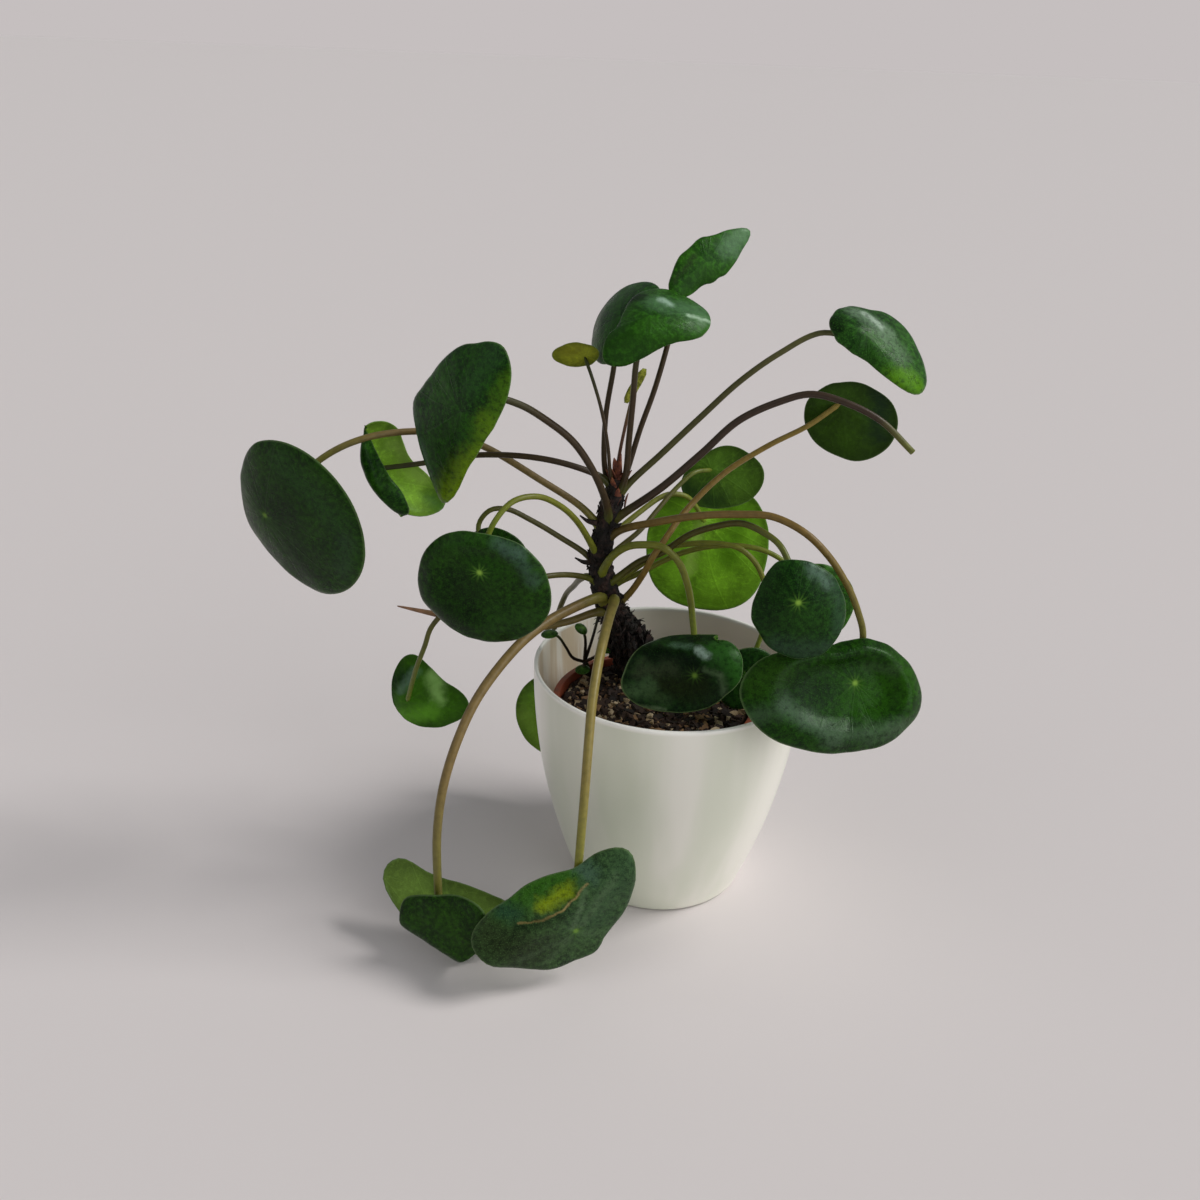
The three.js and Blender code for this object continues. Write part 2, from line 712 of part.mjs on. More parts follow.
// How finely a blade is drawn: how many sides its edge has, and its rings.
function bladeFineness({ small, folds }) {
  if (small) {
    return [SMALL_BLADE_SIDES, SMALL_BLADE_RINGS];
  }
  return folds.length > 0 ? [FOLDED_BLADE_SIDES, FOLDED_BLADE_RINGS] : [BLADE_SIDES, BLADE_RINGS];
}

function blade(leaf, clearance) {
  const [sides, rings] = bladeFineness(leaf);
  const half = BLADE_THICKNESS / 2 + clearance;
  const place = bladeAxes(leaf).setPosition(...leaf.navel);
  const near = 0.5; // the distance over which the blade's slope is taken
  const faces = (x, y) => {
    const middle = bladePoint(leaf, x, y);
    const across = bladePoint(leaf, x + near, y).sub(bladePoint(leaf, x - near, y));
    const along = bladePoint(leaf, x, y + near).sub(bladePoint(leaf, x, y - near));
    const normal = across.cross(along).normalize();
    return [1, -1].map((side) => middle.clone().addScaledVector(normal, side * half).applyMatrix4(place));
  };
  const [top, bottom] = faces(0, 0);
  const upper = [];
  const lower = [];
  for (const share of rings) {
    const pairs = [];
    for (let side = 0; side < sides; side += 1) {
      const angle = (360 * side) / sides;
      const reach = share * rimDistance(leaf.rim, angle) + (share === 1 ? clearance : 0);
      pairs.push(faces(reach * Math.sin(radians(angle)), reach * Math.cos(radians(angle))));
    }
    upper.push(pairs.map(([above]) => above));
    lower.push(pairs.map(([, below]) => below));
  }
  return bladeSkin(upper, lower, top, bottom);
}

// Both faces are split into triangles alike, so that they never cross.
function bladeSkin(upper, lower, top, bottom) {
  const sides = upper[0].length;
  const rings = upper.length;
  const points = [top, ...upper.flat(), bottom, ...lower.flat()];
  const under = 1 + rings * sides;
  const index = [];
  const triangle = (a, b, c) => {
    index.push(a, c, b);
    index.push(under + a, under + b, under + c);
  };
  for (let side = 0; side < sides; side += 1) {
    const next = (side + 1) % sides;
    triangle(0, 1 + side, 1 + next);
    for (let ring = 0; ring < rings - 1; ring += 1) {
      const a = 1 + ring * sides + side;
      const b = 1 + ring * sides + next;
      triangle(a, a + sides, b + sides);
      triangle(a, b + sides, b);
    }
    const a = 1 + (rings - 1) * sides + side;
    const b = 1 + (rings - 1) * sides + next;
    index.push(a, b, under + b);
    index.push(a, under + b, under + a);
  }
  const geometry = new THREE.BufferGeometry();
  geometry.setAttribute('position', new THREE.Float32BufferAttribute(points.flatMap((p) => p.toArray()), 3));
  geometry.setIndex(index);
  geometry.computeVertexNormals();
  return geometry;
}

// ---------------------------------------------------------------- stalks
// A tube along a smooth line through the points, drawn in towards its end.
function tube(points, [startRadius, endRadius]) {
  const line = new THREE.CatmullRomCurve3(points.map(vector), false, 'centripetal');
  const steps = Math.max(FEWEST_STALK_STEPS, Math.round(line.getLength() / STALK_STEP));
  const section = new THREE.Shape();
  for (let side = 0; side < STALK_SIDES; side += 1) {
    const angle = (2 * Math.PI * side) / STALK_SIDES;
    const [x, y] = [startRadius * Math.cos(angle), startRadius * Math.sin(angle)];
    if (side === 0) {
      section.moveTo(x, y);
    } else {
      section.lineTo(x, y);
    }
  }
  const geometry = new THREE.ExtrudeGeometry(section, { steps, extrudePath: line, bevelEnabled: false });
  const stations = line.getSpacedPoints(steps);
  const position = geometry.attributes.position;
  const corner = new THREE.Vector3();
  for (let vertex = 0; vertex < position.count; vertex += 1) {
    corner.fromBufferAttribute(position, vertex);
    const distances = stations.map((station) => station.distanceTo(corner));
    const nearest = distances.indexOf(Math.min(...distances));
    const scale = THREE.MathUtils.lerp(1, endRadius / startRadius, nearest / steps);
    corner.sub(stations[nearest]).multiplyScalar(scale).add(stations[nearest]);
    position.setXYZ(vertex, corner.x, corner.y, corner.z);
  }
  return geometry;
}

const trunkRoom = solidOf(trunk(GAP));

function stalk({ stalk: points, thick }) {
  return geometryOf(solidOf(tube(points, thick)).subtract(trunkRoom));
}

function leafStalk(leaf) {
  const whole = solidOf(tube([...leaf.stalk, leaf.navel], leaf.thick));
  return geometryOf(whole.subtract(trunkRoom).subtract(solidOf(blade(leaf, GAP))));
}

// A thin stalk and its small blade, grown together.
function shoot(leaf) {
  return solidOf(tube([...leaf.stalk, leaf.navel], leaf.thick)).add(solidOf(blade(leaf, 0)));
}

function youngLeaf() {
  return geometryOf(shoot(YOUNG_LEAF).subtract(trunkRoom));
}

function pupFoot(clearance) {
  const [deepest, ...above] = PUP_FOOT.stalk;
  const [x, y, z] = deepest;
  const wider = PUP_FOOT.thick.map((radius) => radius + clearance);
  return solidOf(tube([[x, y, z - clearance], ...above], wider));
}

function pup() {
  let whole = pupFoot(0);
  for (const { radius, ...rest } of PUP_SHOOTS) {
    const rim = [radius, radius, radius];
    whole = whole.add(shoot({ ...rest, rim, cup: PUP_CUP, folds: [], thick: PUP_SHOOT_THICK, small: true }));
  }
  return geometryOf(whole);
}

// ---------------------------------------------------------------- the plant in its pot
const group = new THREE.Group();
group.name = 'potted_pilea';

function add(name, geometry, look) {
  const mesh = new THREE.Mesh(geometry, new THREE.MeshStandardMaterial(look));
  mesh.name = name;
  group.add(mesh);
}

add('outer_pot', outerPot(), POT_LOOK);
add('nursery_pot', nurseryPot(), NURSERY_LOOK);
add('soil', soil([trunkRoom, pupFoot(GAP)]), SOIL_LOOK);
add('trunk', trunk(0), BARK_LOOK);
add('growing_point', apex(), APEX_LOOK);
for (const leaf of LEAVES) {
  add(`${leaf.name}_blade`, blade(leaf, 0), BLADE_LOOK);
  add(`${leaf.name}_stalk`, leafStalk(leaf), STALK_LOOK);
}
add('young_leaf', youngLeaf(), YOUNG_LOOK);
add('pup', pup(), PUP_LOOK);
for (const bare of BARE_STALKS) {
  add(bare.name, stalk(bare), STALK_LOOK);
}

export default group;
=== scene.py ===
"""The looks of a potted pilea: fine leaves, stalks, bark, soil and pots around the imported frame.

The object's tables and lengths are in millimetres, as in the part's own source, and are turned into metres
where a mesh is made. The studio's are in metres. Materials' colours are given as sRGB bytes.
"""

import math
import random

import bpy
import numpy as np
from mathutils import Matrix, Vector, noise


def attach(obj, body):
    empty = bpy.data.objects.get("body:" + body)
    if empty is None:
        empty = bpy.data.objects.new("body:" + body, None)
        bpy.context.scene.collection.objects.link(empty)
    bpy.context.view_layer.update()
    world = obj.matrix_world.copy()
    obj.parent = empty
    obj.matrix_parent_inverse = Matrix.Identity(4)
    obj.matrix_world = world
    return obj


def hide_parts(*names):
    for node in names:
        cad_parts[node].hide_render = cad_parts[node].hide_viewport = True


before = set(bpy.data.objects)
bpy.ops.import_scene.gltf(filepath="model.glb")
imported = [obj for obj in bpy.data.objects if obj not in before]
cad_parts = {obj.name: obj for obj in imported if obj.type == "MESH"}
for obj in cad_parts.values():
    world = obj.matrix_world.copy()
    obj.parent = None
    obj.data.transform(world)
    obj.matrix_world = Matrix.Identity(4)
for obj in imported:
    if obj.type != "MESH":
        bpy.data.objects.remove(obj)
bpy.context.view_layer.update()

MM = 0.001

# ---------------------------------------------------------------- driving dimensions, as in the frame
POT_HEIGHT = 138
POT_RIM_RADIUS = 78
POT_BASE_RADIUS = 51
POT_WALL = 2.4
POT_FLOOR = 3
POT_EDGE = 2.5

NURSERY_CENTRE = (-7, -6)
NURSERY_FOOT = 3.3
NURSERY_TOP = 117.3
NURSERY_RIM_RADIUS = 57
NURSERY_BASE_RADIUS = 38
NURSERY_WALL = 1.5
NURSERY_LIP = 2.5
NURSERY_LIP_DEPTH = 6

SOIL_BASE = 5.1
SOIL_TOP = 113.3
SOIL_RIM_RADIUS = 54.1
SOIL_BASE_RADIUS = 36.1

# Points up the trunk's middle with the stem's radius there.
TRUNK = (
    ((-17, 32, 102), 8),
    ((-17, 32, 116), 10),
    ((-20, 27, 131), 11),
    ((-25, 19, 147), 11),
    ((-33, 11, 165), 8),
    ((-39, 8, 182), 7.5),
    ((-42, 8, 200), 6.5),
    ((-40, 8, 216), 6),
    ((-37, 8, 232), 6.3),
    ((-34, 8, 247), 4.5),
)

# Each leaf, as in the frame: navel, where the upper face looks, rim distance at the 12 clock hours or
# 24 half hours, cup, ridge, folds (clock angle, distance, radius, bend) and the stalk from the trunk with
# its radius at both ends.
LEAVES = {
    "leaf_01": dict(
        navel=(-220, -25, 230), faces=(-30, -10), cup=-5, thick=(2, 1.7),
        rim=(40, 50, 59, 63, 60, 53, 38, 29, 25, 22, 23, 29),
        stalk=((-41, 8, 215), (-52, 8, 228), (-77, 9, 244), (-107, 10, 261), (-125, 9, 267),
            (-141, 5, 270), (-169, -8, 269), (-192, -14, 258)),
    ),
    "leaf_02": dict(
        navel=(-113, -44, 296), faces=(-42, 5), cup=-6, thick=(2.1, 1.8),
        rim=(33, 37, 40, 37, 30, 24, 20, 18, 17, 17, 19, 23,
            31, 53, 59, 64, 64, 56, 42, 35, 32, 31, 31, 32),
        folds=((245, 38, 14, -40),),
        stalk=((-38, 6, 220), (-39, 0, 232), (-46, -8, 253), (-58, -14, 273), (-72, -20, 286),
            (-86, -27, 296), (-100, -36, 301)),
    ),
    "leaf_03": dict(
        navel=(-172, 4, 247), faces=(-95, -20), cup=-10, thick=(1.8, 1.4),
        rim=(22, 22, 22, 17, 14, 13, 13, 14, 17, 26, 34, 31,
            26, 30, 43, 50, 38, 28, 25, 26, 29, 29, 27, 24),
        folds=((90, 1, 8, -70), (270, 1, 8, -45)),
        stalk=((-36, 8, 238), (-41, 7, 246), (-58, 4, 254), (-82, 2, 259), (-113, 4, 258),
            (-143, 7, 251)),
    ),
    "leaf_04": dict(
        navel=(-103, -58, 216), faces=(-12, 0), cup=-4, ridge=2.5, thick=(1.9, 1.4),
        rim=(20, 22, 28, 35, 41, 42, 41, 40, 39, 34, 28, 23),
        stalk=((-42, 8, 197), (-46, 3, 207), (-55, -7, 226), (-64, -16, 238), (-76, -27, 247),
            (-88, -36, 247), (-96, -41, 239), (-101, -44, 228)),
    ),
    "leaf_05": dict(
        navel=(-103, -14, 204), faces=(-10, 5), cup=-3, thick=(1.7, 1.3),
        rim=(18, 19, 21, 22, 23, 24, 25, 24, 22, 20, 18, 17),
        stalk=((-42, 8, 190), (-49, 8, 200), (-65, 5, 212), (-81, 1, 223), (-94, -2, 230),
            (-103, -5, 230), (-109, -7, 222), (-107, -9, 212)),
    ),
    "leaf_06": dict(
        navel=(-151, -8, 111), faces=(172, -10), cup=3, thick=(1.7, 1.3),
        rim=(27, 18, 12, 10, 10, 11, 14, 19, 27, 36, 25, 24),
        stalk=((-39, 8, 180), (-47, 3, 188), (-57, -4, 193), (-69, -13, 196), (-86, -24, 196),
            (-106, -29, 191), (-122, -29, 182), (-133, -28, 169), (-137, -27, 157), (-143, -22, 140)),
    ),
    "leaf_07": dict(
        navel=(-121, -101, 13), faces=(-110, -68), cup=0, thick=(3, 2.1),
        rim=(23, 22, 28, 38, 41, 44, 50, 52, 44, 28, 17, 14,
            14, 20, 30, 40, 43, 38, 35, 34, 35, 40, 52, 48),
        folds=((90, 1, 9, -95), (270, 1, 9, -45)),
        stalk=((-38, 8, 171), (-41, 0, 178), (-62, -21, 177), (-78, -38, 172), (-91, -54, 163),
            (-104, -70, 148), (-113, -82, 129), (-119, -91, 108), (-122, -97, 83), (-122, -99, 50)),
    ),
    "leaf_08": dict(
        navel=(-47, -118, 39), faces=(20, -5), cup=0, thick=(2.9, 2.2),
        rim=(38, 47, 53, 44, 35, 28, 23, 20, 19, 21, 22, 22,
            23, 26, 29, 32, 38, 49, 56, 50, 42, 39, 37, 36),
        folds=((325, 12, 12, -45),),
        stalk=((-36, 9, 170), (-33, 0, 177), (-36, -26, 177), (-40, -52, 168), (-43, -74, 153),
            (-44, -87, 138), (-45, -98, 114), (-46, -104, 92), (-47, -106, 70)),
    ),
    "leaf_09": dict(
        navel=(-67, 66, 65), faces=(165, -10), cup=3, thick=(1.9, 1.5),
        rim=(25, 25, 26, 28, 30, 32, 32, 32, 28, 26, 26, 25),
        stalk=((-40, 9, 179), (-48, 15, 184), (-53, 25, 178), (-57, 40, 167), (-63, 56, 152),
            (-69, 62, 128), (-70, 61, 95)),
    ),
    "leaf_10": dict(
        navel=(-22, -18, 341), faces=(8, 55), cup=-6, thick=(1.8, 1.5),
        rim=(23, 26, 28, 29, 31, 33, 32, 28, 24, 20, 19, 19,
            21, 25, 31, 34, 27, 18, 15, 14, 14, 15, 17, 20),
        folds=((190, 3, 14, -50),),
        stalk=((-34, 7, 236), (-30, 3, 249), (-29, 0, 271), (-28, -5, 294), (-27, -10, 318)),
    ),
    "leaf_11": dict(
        navel=(-36, 8, 335), faces=(-60, 35), cup=-8, thick=(1.6, 1.4),
        rim=(24, 22, 18, 14, 14, 18, 24, 28, 31, 34, 32, 27),
        stalk=((-36, 10, 236), (-41, 13, 249), (-42, 14, 278), (-39, 12, 304), (-37, 10, 320)),
    ),
    "leaf_12": dict(
        navel=(7, 22, 362), faces=(20, 20), cup=-2, thick=(1.6, 1.4),
        rim=(13, 14, 17, 24, 32, 23, 18, 15, 13, 11, 11, 11,
            11, 13, 19, 25, 24, 19, 16, 14, 12, 11, 11, 12),
        stalk=((-34, 9, 236), (-29, 12, 250), (-23, 14, 273), (-16, 18, 295), (-10, 22, 320),
            (-7, 28, 337), (-1, 30, 350)),
    ),
    "leaf_13": dict(
        navel=(-54, 2, 315), faces=(180, 25), cup=0, thick=(1, 0.9),
        rim=(8, 10, 13, 17, 12, 8, 6, 6, 6, 7, 8, 8),
        stalk=((-35, 9, 240), (-38, 3, 250), (-40, 2, 266), (-44, 0, 286), (-49, 0, 302)),
    ),
    "leaf_14": dict(
        navel=(87, -12, 336), faces=(30, 45), cup=-6, thick=(1.9, 1.4),
        rim=(19, 20, 21, 23, 28, 32, 35, 37, 40, 43, 40, 24,
            15, 12, 11, 11, 11, 12, 14, 15, 17, 18, 18, 19),
        stalk=((-36, 8, 232), (-28, 7, 244), (-12, 4, 262), (8, 0, 285), (27, -3, 306), (46, -5, 322),
            (66, -4, 333)),
    ),
    "leaf_15": dict(
        navel=(84, 15, 292), faces=(165, 10), cup=0, thick=(2, 1.4),
        rim=(12, 12, 13, 17, 21, 26, 31, 36, 35, 29, 20, 15),
        stalk=((-36, 11, 164), (-25, 8, 177), (-18, 1, 192), (-12, -9, 210), (-7, -8, 218),
            (0, -1, 227), (8, 6, 235), (17, 10, 244), (28, 14, 253), (49, 16, 267), (68, 14, 279)),
    ),
    "leaf_16": dict(
        navel=(21, 72, 200), faces=(180, -10), cup=0, thick=(1.8, 1.4),
        rim=(18, 20, 26, 32, 40, 52, 56, 58, 46, 38, 32, 22),
        stalk=((-42, 9, 196), (-40, 17, 203), (-20, 34, 218), (-4, 46, 225), (7, 50, 223),
            (14, 54, 215), (18, 60, 206)),
    ),
    "leaf_17": dict(
        navel=(22, 62, 236), faces=(178, -10), cup=0, thick=(1.6, 1.3),
        rim=(12, 10, 12, 14, 20, 23, 23, 25, 30, 31, 23, 17),
        stalk=((-41, 8, 191), (-36, 12, 199), (-20, 22, 211), (-9, 34, 221), (0, 44, 229),
            (11, 52, 237)),
    ),
    "leaf_18": dict(
        navel=(58, -73, 213), faces=(0, 8), cup=-7, thick=(2, 1.6),
        rim=(20, 20, 20, 21, 22, 23, 25, 27, 29, 31, 33, 33,
            32, 30, 28, 26, 25, 23, 21, 20, 20, 21, 22, 21),
        stalk=((-40, 8, 181), (-33, 4, 188), (-20, 0, 201), (-8, -5, 209), (6, -12, 223),
            (19, -21, 232), (31, -31, 238), (41, -42, 238), (49, -52, 235), (54, -59, 227)),
    ),
    "leaf_19": dict(
        navel=(77, -10, 183), faces=(5, 10), cup=-2, thick=(1.7, 1.4),
        rim=(23, 24, 25, 25, 24, 23, 23, 23, 23, 22, 22, 22),
        stalk=((-39, 9, 175), (-32, 13, 181), (-19, 12, 189), (-6, 12, 197), (6, 10, 204),
            (22, 8, 209), (38, 7, 210), (53, 6, 207), (66, 3, 199)),
    ),
    "leaf_20": dict(
        navel=(94, -64, 164), faces=(12, 25), cup=0, ridge=6, thick=(2.2, 1.7),
        rim=(23, 24, 25, 27, 29, 32, 35, 38, 39, 38, 37, 36,
            36, 38, 41, 46, 53, 60, 63, 55, 40, 29, 24, 23),
        stalk=((-41, 8, 208), (-32, 3, 218), (-15, -7, 227), (8, -20, 237), (30, -31, 243),
            (46, -38, 245), (62, -46, 240), (75, -50, 229), (86, -52, 214), (93, -52, 200),
            (98, -51, 184)),
    ),
    "leaf_21": dict(
        navel=(12, -42, 153), faces=(-10, 15), cup=5, thick=(2.3, 1.7),
        rim=(27, 27, 28, 29, 27, 24, 22, 20, 19, 18, 18, 18,
            19, 21, 24, 29, 36, 40, 37, 33, 31, 31, 30, 28),
        folds=((350, 4, 9, -80), (75, 15, 7, -55)),
        stalk=((-41, 8, 187), (-40, 0, 195), (-35, -5, 206), (-27, -10, 214), (-18, -14, 217),
            (-9, -16, 217), (0, -17, 210), (7, -17, 194), (11, -17, 173), (13, -23, 159),
            (13, -33, 153)),
    ),
    "leaf_22": dict(
        navel=(44, -22, 143), faces=(10, 20), cup=0, thick=(1.7, 1.4),
        rim=(16, 17, 18, 19, 19, 18, 18, 20, 20, 18, 16, 16),
        stalk=((-40, 9, 178), (-33, 9, 184), (-19, 7, 196), (-6, 4, 208), (8, 0, 213), (21, -3, 215),
            (34, -6, 214), (44, -8, 206), (51, -9, 190), (52, -9, 169)),
    ),
}

RIDGE_AT = 0.74  # where a blade's round ridge is, as a share of the way from the navel to the edge
RIDGE_WIDTH = 0.2

# Blades whose upper face is seen: their stalk meets them straight from behind.
SEEN_FROM_ABOVE = {f"leaf_{number:02}" for number in (1, 2, 4, 5, 8, 10, 11, 12, 14, 18, 20, 21, 22)}

# How uneven a blade is, where that isn't 1.
PUCKERS = {
    "leaf_01": 0.5, "leaf_02": 0.6, "leaf_03": 0.5, "leaf_06": 1.6, "leaf_10": 0.25, "leaf_11": 0.3,
    "leaf_12": 0.25, "leaf_14": 0.5, "leaf_16": 1.6, "leaf_19": 1.4,
}

# A young leaf still narrow, close to the top of the trunk.
YOUNG_LEAF = dict(
    navel=(-27, 5, 299), faces=(20, 0), cup=0, thick=(1, 0.9),
    rim=(5, 11, 5, 3, 2.5, 3, 5, 10, 5, 3, 2.5, 3),
    stalk=((-35, 13, 238), (-34, 16, 254), (-31, 12, 276)),
)

# The plantlet's shoots: stalk, navel, where the blade looks and its radius.
PUP_FOOT = dict(stalk=((-45, 27, 103), (-46, 26, 114), (-49, 24, 125)), thick=(2.2, 1.6))
PUP_PARTING = (-49, 24, 124)
PUP_SHOOTS = (
    (((-56, 21, 128), (-60, 18, 136), (-65, 15, 145)), (-70, 12, 149), (-60, 84), 5),
    (((-49, 22, 141),), (-51, 20, 149), (60, 58), 4.2),
    (((-45, 26, 138),), (-41, 29, 156), (20, 76), 3),
    (((-44, 20, 129), (-40, 16, 134)), (-36, 13, 139), (-30, 74), 2.8),
    (((-49, 21, 124),), (-50, 18, 123), (-20, 78), 4.5),
)
PUP_SHOOT_THICK = (0.9, 0.8)

BARE_STALKS = {
    "stalk_dry": dict(
        stalk=((-35, 10, 165), (-44, 1, 168), (-59, -6, 165), (-80, -12, 163), (-107, -20, 169),
            (-130, -26, 176), (-151, -30, 182)),
        thick=(2.3, 1.5), point=22,
    ),
    "stalk_cut": dict(
        stalk=((-39, 8, 219), (-30, 4, 228), (-11, -4, 246), (9, -10, 268), (27, -16, 289),
            (47, -20, 301), (61, -23, 306), (76, -26, 304), (96, -30, 296), (114, -34, 281)),
        thick=(2.3, 1.6),
    ),
}

# ---------------------------------------------------------------- fineness of the meshes
BLADE_SIDES = 96
BLADE_RINGS = 26
SMALL_BLADE_SIDES = 32
SMALL_BLADE_RINGS = 8
STALK_SIDES = 14
STALK_STEP = 2.5
POT_SIDES = 160
POT_ROWS = 48
TRUNK_SIDES = 84
TRUNK_STEP = 0.8
SOIL_SIDES = 150
SOIL_RINGS = 56
BEND_STEPS = 6
LINE_STEPS = 24  # fine steps between two given points of a line, before it is divided evenly


# ---------------------------------------------------------------- materials
def rgb(red, green, blue, by=1):
    """A linear colour from sRGB bytes, each first multiplied by `by`."""
    channels = []
    for byte in (red, green, blue):
        value = by * byte / 255
        channels.append(value / 12.92 if value <= 0.04045 else ((value + 0.055) / 1.055) ** 2.4)
    return (*channels, 1)


class Look:
    """A node material with short calls for the nodes that these looks use."""

    def __init__(self, name, **sockets):
        self.material = bpy.data.materials.new(name)
        self.material.use_nodes = True
        self.tree = self.material.node_tree
        self.shader = self.tree.nodes["Principled BSDF"]
        self.set(**sockets)

    def set(self, **sockets):
        for name, value in sockets.items():
            self.feed(self.shader.inputs[name.replace("_", " ")], value)

    def feed(self, socket, value):
        if isinstance(value, bpy.types.NodeSocket):
            self.tree.links.new(value, socket)
        else:
            socket.default_value = value

    def node(self, kind, *values, **settings):
        made = self.tree.nodes.new(kind)
        for name, value in settings.items():
            setattr(made, name, value)
        for socket, value in zip(made.inputs, values):
            if value is not None:
                self.feed(socket, value)
        return made

    def number(self, name):
        """A number stored on the mesh."""
        return self.node("ShaderNodeAttribute", attribute_name=name).outputs["Fac"]

    def vector(self, name):
        return self.node("ShaderNodeAttribute", attribute_name=name).outputs["Vector"]

    def place(self):
        return self.node("ShaderNodeTexCoord").outputs["Object"]

    def math(self, operation, *values):
        return self.node("ShaderNodeMath", *values, operation=operation).outputs[0]

    def vectors(self, operation, *values):
        """Vector maths; the fourth value is the factor of SCALE."""
        made = self.node("ShaderNodeVectorMath", *values, operation=operation)
        return made.outputs["Value" if operation in ("DOT_PRODUCT", "DISTANCE") else "Vector"]

    def between(self, value, low, high, start=0.0, end=1.0):
        """value's place from low to high, eased and clamped, as a number from start to end."""
        values = (value, low, high, start, end)
        return self.node("ShaderNodeMapRange", *values, interpolation_type="SMOOTHSTEP").outputs[0]

    def noise(self, scale, detail=3.0, roughness=0.5, at=None, output=0):
        """Noise from 0 to 1; scale is its features per unit of `at`, or per metre without one."""
        made = self.node("ShaderNodeTexNoise")
        self.feed(made.inputs["Vector"], at or self.place())
        for name, value in (("Scale", scale), ("Detail", detail), ("Roughness", roughness)):
            made.inputs[name].default_value = value
        return made.outputs[output]

    def cells(self, scale):
        """Distance from the middle of the nearest cell; scale is its cells per metre."""
        made = self.node("ShaderNodeTexVoronoi", self.place())
        made.inputs["Scale"].default_value = scale
        return made.outputs["Distance"]

    def mix(self, share, first, second):
        made = self.node("ShaderNodeMix", data_type="RGBA")
        for name, value in (("Factor_Float", share), ("A_Color", first), ("B_Color", second)):
            self.feed(next(s for s in made.inputs if s.identifier == name), value)
        return next(s for s in made.outputs if s.identifier == "Result_Color")

    def layers(self, colour, *layers):
        """The colour under others: each is (value, low, high, strength at high, colour)."""
        for value, low, high, strength, over in layers:
            colour = self.mix(self.between(value, low, high, 0, strength), colour, over)
        return colour

    def ramp(self, value, *stops):
        made = self.node("ShaderNodeValToRGB", value)
        steps = made.color_ramp.elements
        while len(steps) < len(stops):
            steps.new(1)
        for step, (position, colour) in zip(steps, stops):
            step.position = position
            step.color = colour
        return made.outputs[0]

    def bump(self, height, depth):
        """Relief of the given depth in millimetres where height goes from 0 to 1."""
        made = self.node("ShaderNodeBump")
        made.inputs["Distance"].default_value = depth * MM
        self.feed(made.inputs["Height"], height)
        return made.outputs[0]


def pot_look():
    """Cream-white satin with faint upright bands of painted reflection and shade; the inner wall is painted
    paler and warmer as painted bounce light, with painted reflection streaks on its left, and the rim is
    painted near-white as a painted highlight.
    """
    look = Look("satin_white_pot", Roughness=0.3, Coat_Weight=0.25, Coat_Roughness=0.18)
    # painted reflection and shade: faint upright bands on the outer wall
    upright = look.vectors("MULTIPLY", look.place(), (1, 1, 0.05))
    painted_band = look.between(look.noise(26, 3, 0.5, upright), 0.35, 0.65)
    outside = look.mix(painted_band, rgb(226, 229, 212), rgb(242, 240, 230))
    # painted reflection: tan upright streaks on the left of the inner wall, reflected stalks; the inner wall
    # as a whole is painted paler and warmer as painted bounce light
    streak = look.between(look.noise(120, 4, 0.6, upright), 0.62, 0.4)
    leftward = look.between(look.node("ShaderNodeSeparateXYZ", look.place()).outputs["X"], -0.02, -0.06)
    streak = look.math("MULTIPLY", streak, leftward)
    inside = look.mix(streak, rgb(248, 244, 230), rgb(226, 212, 184))
    wall = look.mix(look.number("inside"), outside, inside)
    # painted highlight: the rim's top is painted near-white, the shine along the rim
    look.set(Base_Color=look.mix(look.number("rim"), wall, rgb(253, 252, 246)))
    look.set(Normal=look.bump(look.noise(900, 2), 0.02))
    return look.material


def nursery_look():
    look = Look("terracotta_plastic", Roughness=0.5)
    dust = look.between(look.noise(160, 5), 0.45, 0.75)
    look.set(Base_Color=look.mix(dust, rgb(140, 66, 42), rgb(104, 62, 46)))
    look.set(Normal=look.bump(look.noise(1400, 2), 0.04))
    return look.material


def soil_look():
    look = Look("potting_soil", Roughness=0.95)
    crumbs = look.cells(420)
    tone = look.ramp(look.noise(260, 6, 0.7), (0.25, rgb(26, 18, 14)), (0.5, rgb(66, 46, 34)),
                     (0.68, rgb(104, 76, 52)), (0.8, rgb(150, 118, 82)))
    look.set(Base_Color=look.mix(look.between(crumbs, 0.1, 0.6), rgb(24, 17, 13), tone))
    look.set(Normal=look.bump(look.noise(700, 6, 0.75), 1.1))
    return look.material


def crumb_look(name, dark, light, rough):
    """Bits of the potting mix, each between the two colours by its own tone."""
    look = Look(name, Roughness=rough)
    tone = look.mix(look.number("tone"), rgb(*dark), rgb(*light))
    look.set(Base_Color=look.mix(look.noise(900, 4), tone, rgb(*dark)))
    look.set(Normal=look.bump(look.noise(1500, 4), 0.25))
    return look.material


def bark_look():
    look = Look("dark_bark", Roughness=0.86)
    tone = look.ramp(look.noise(150, 5, 0.65), (0.3, rgb(12, 9, 8)), (0.5, rgb(28, 21, 18)),
                     (0.62, rgb(58, 38, 34)), (0.76, rgb(112, 88, 74)))
    ringed = look.math("MULTIPLY", look.number("ring"), 0.4)
    look.set(Base_Color=look.mix(ringed, tone, rgb(84, 60, 48)))
    look.set(Normal=look.bump(look.noise(800, 6, 0.7), 0.9))
    return look.material


def papery_look():
    look = Look("papery_stipules", Roughness=0.7)
    tone = look.ramp(look.noise(420, 5, 0.7), (0.3, rgb(58, 30, 24)), (0.5, rgb(128, 66, 44)),
                     (0.7, rgb(176, 112, 66)))
    look.set(Base_Color=look.mix(look.number("tone"), rgb(66, 34, 28), tone))
    look.set(Normal=look.bump(look.noise(1200, 4), 0.2))
    return look.material


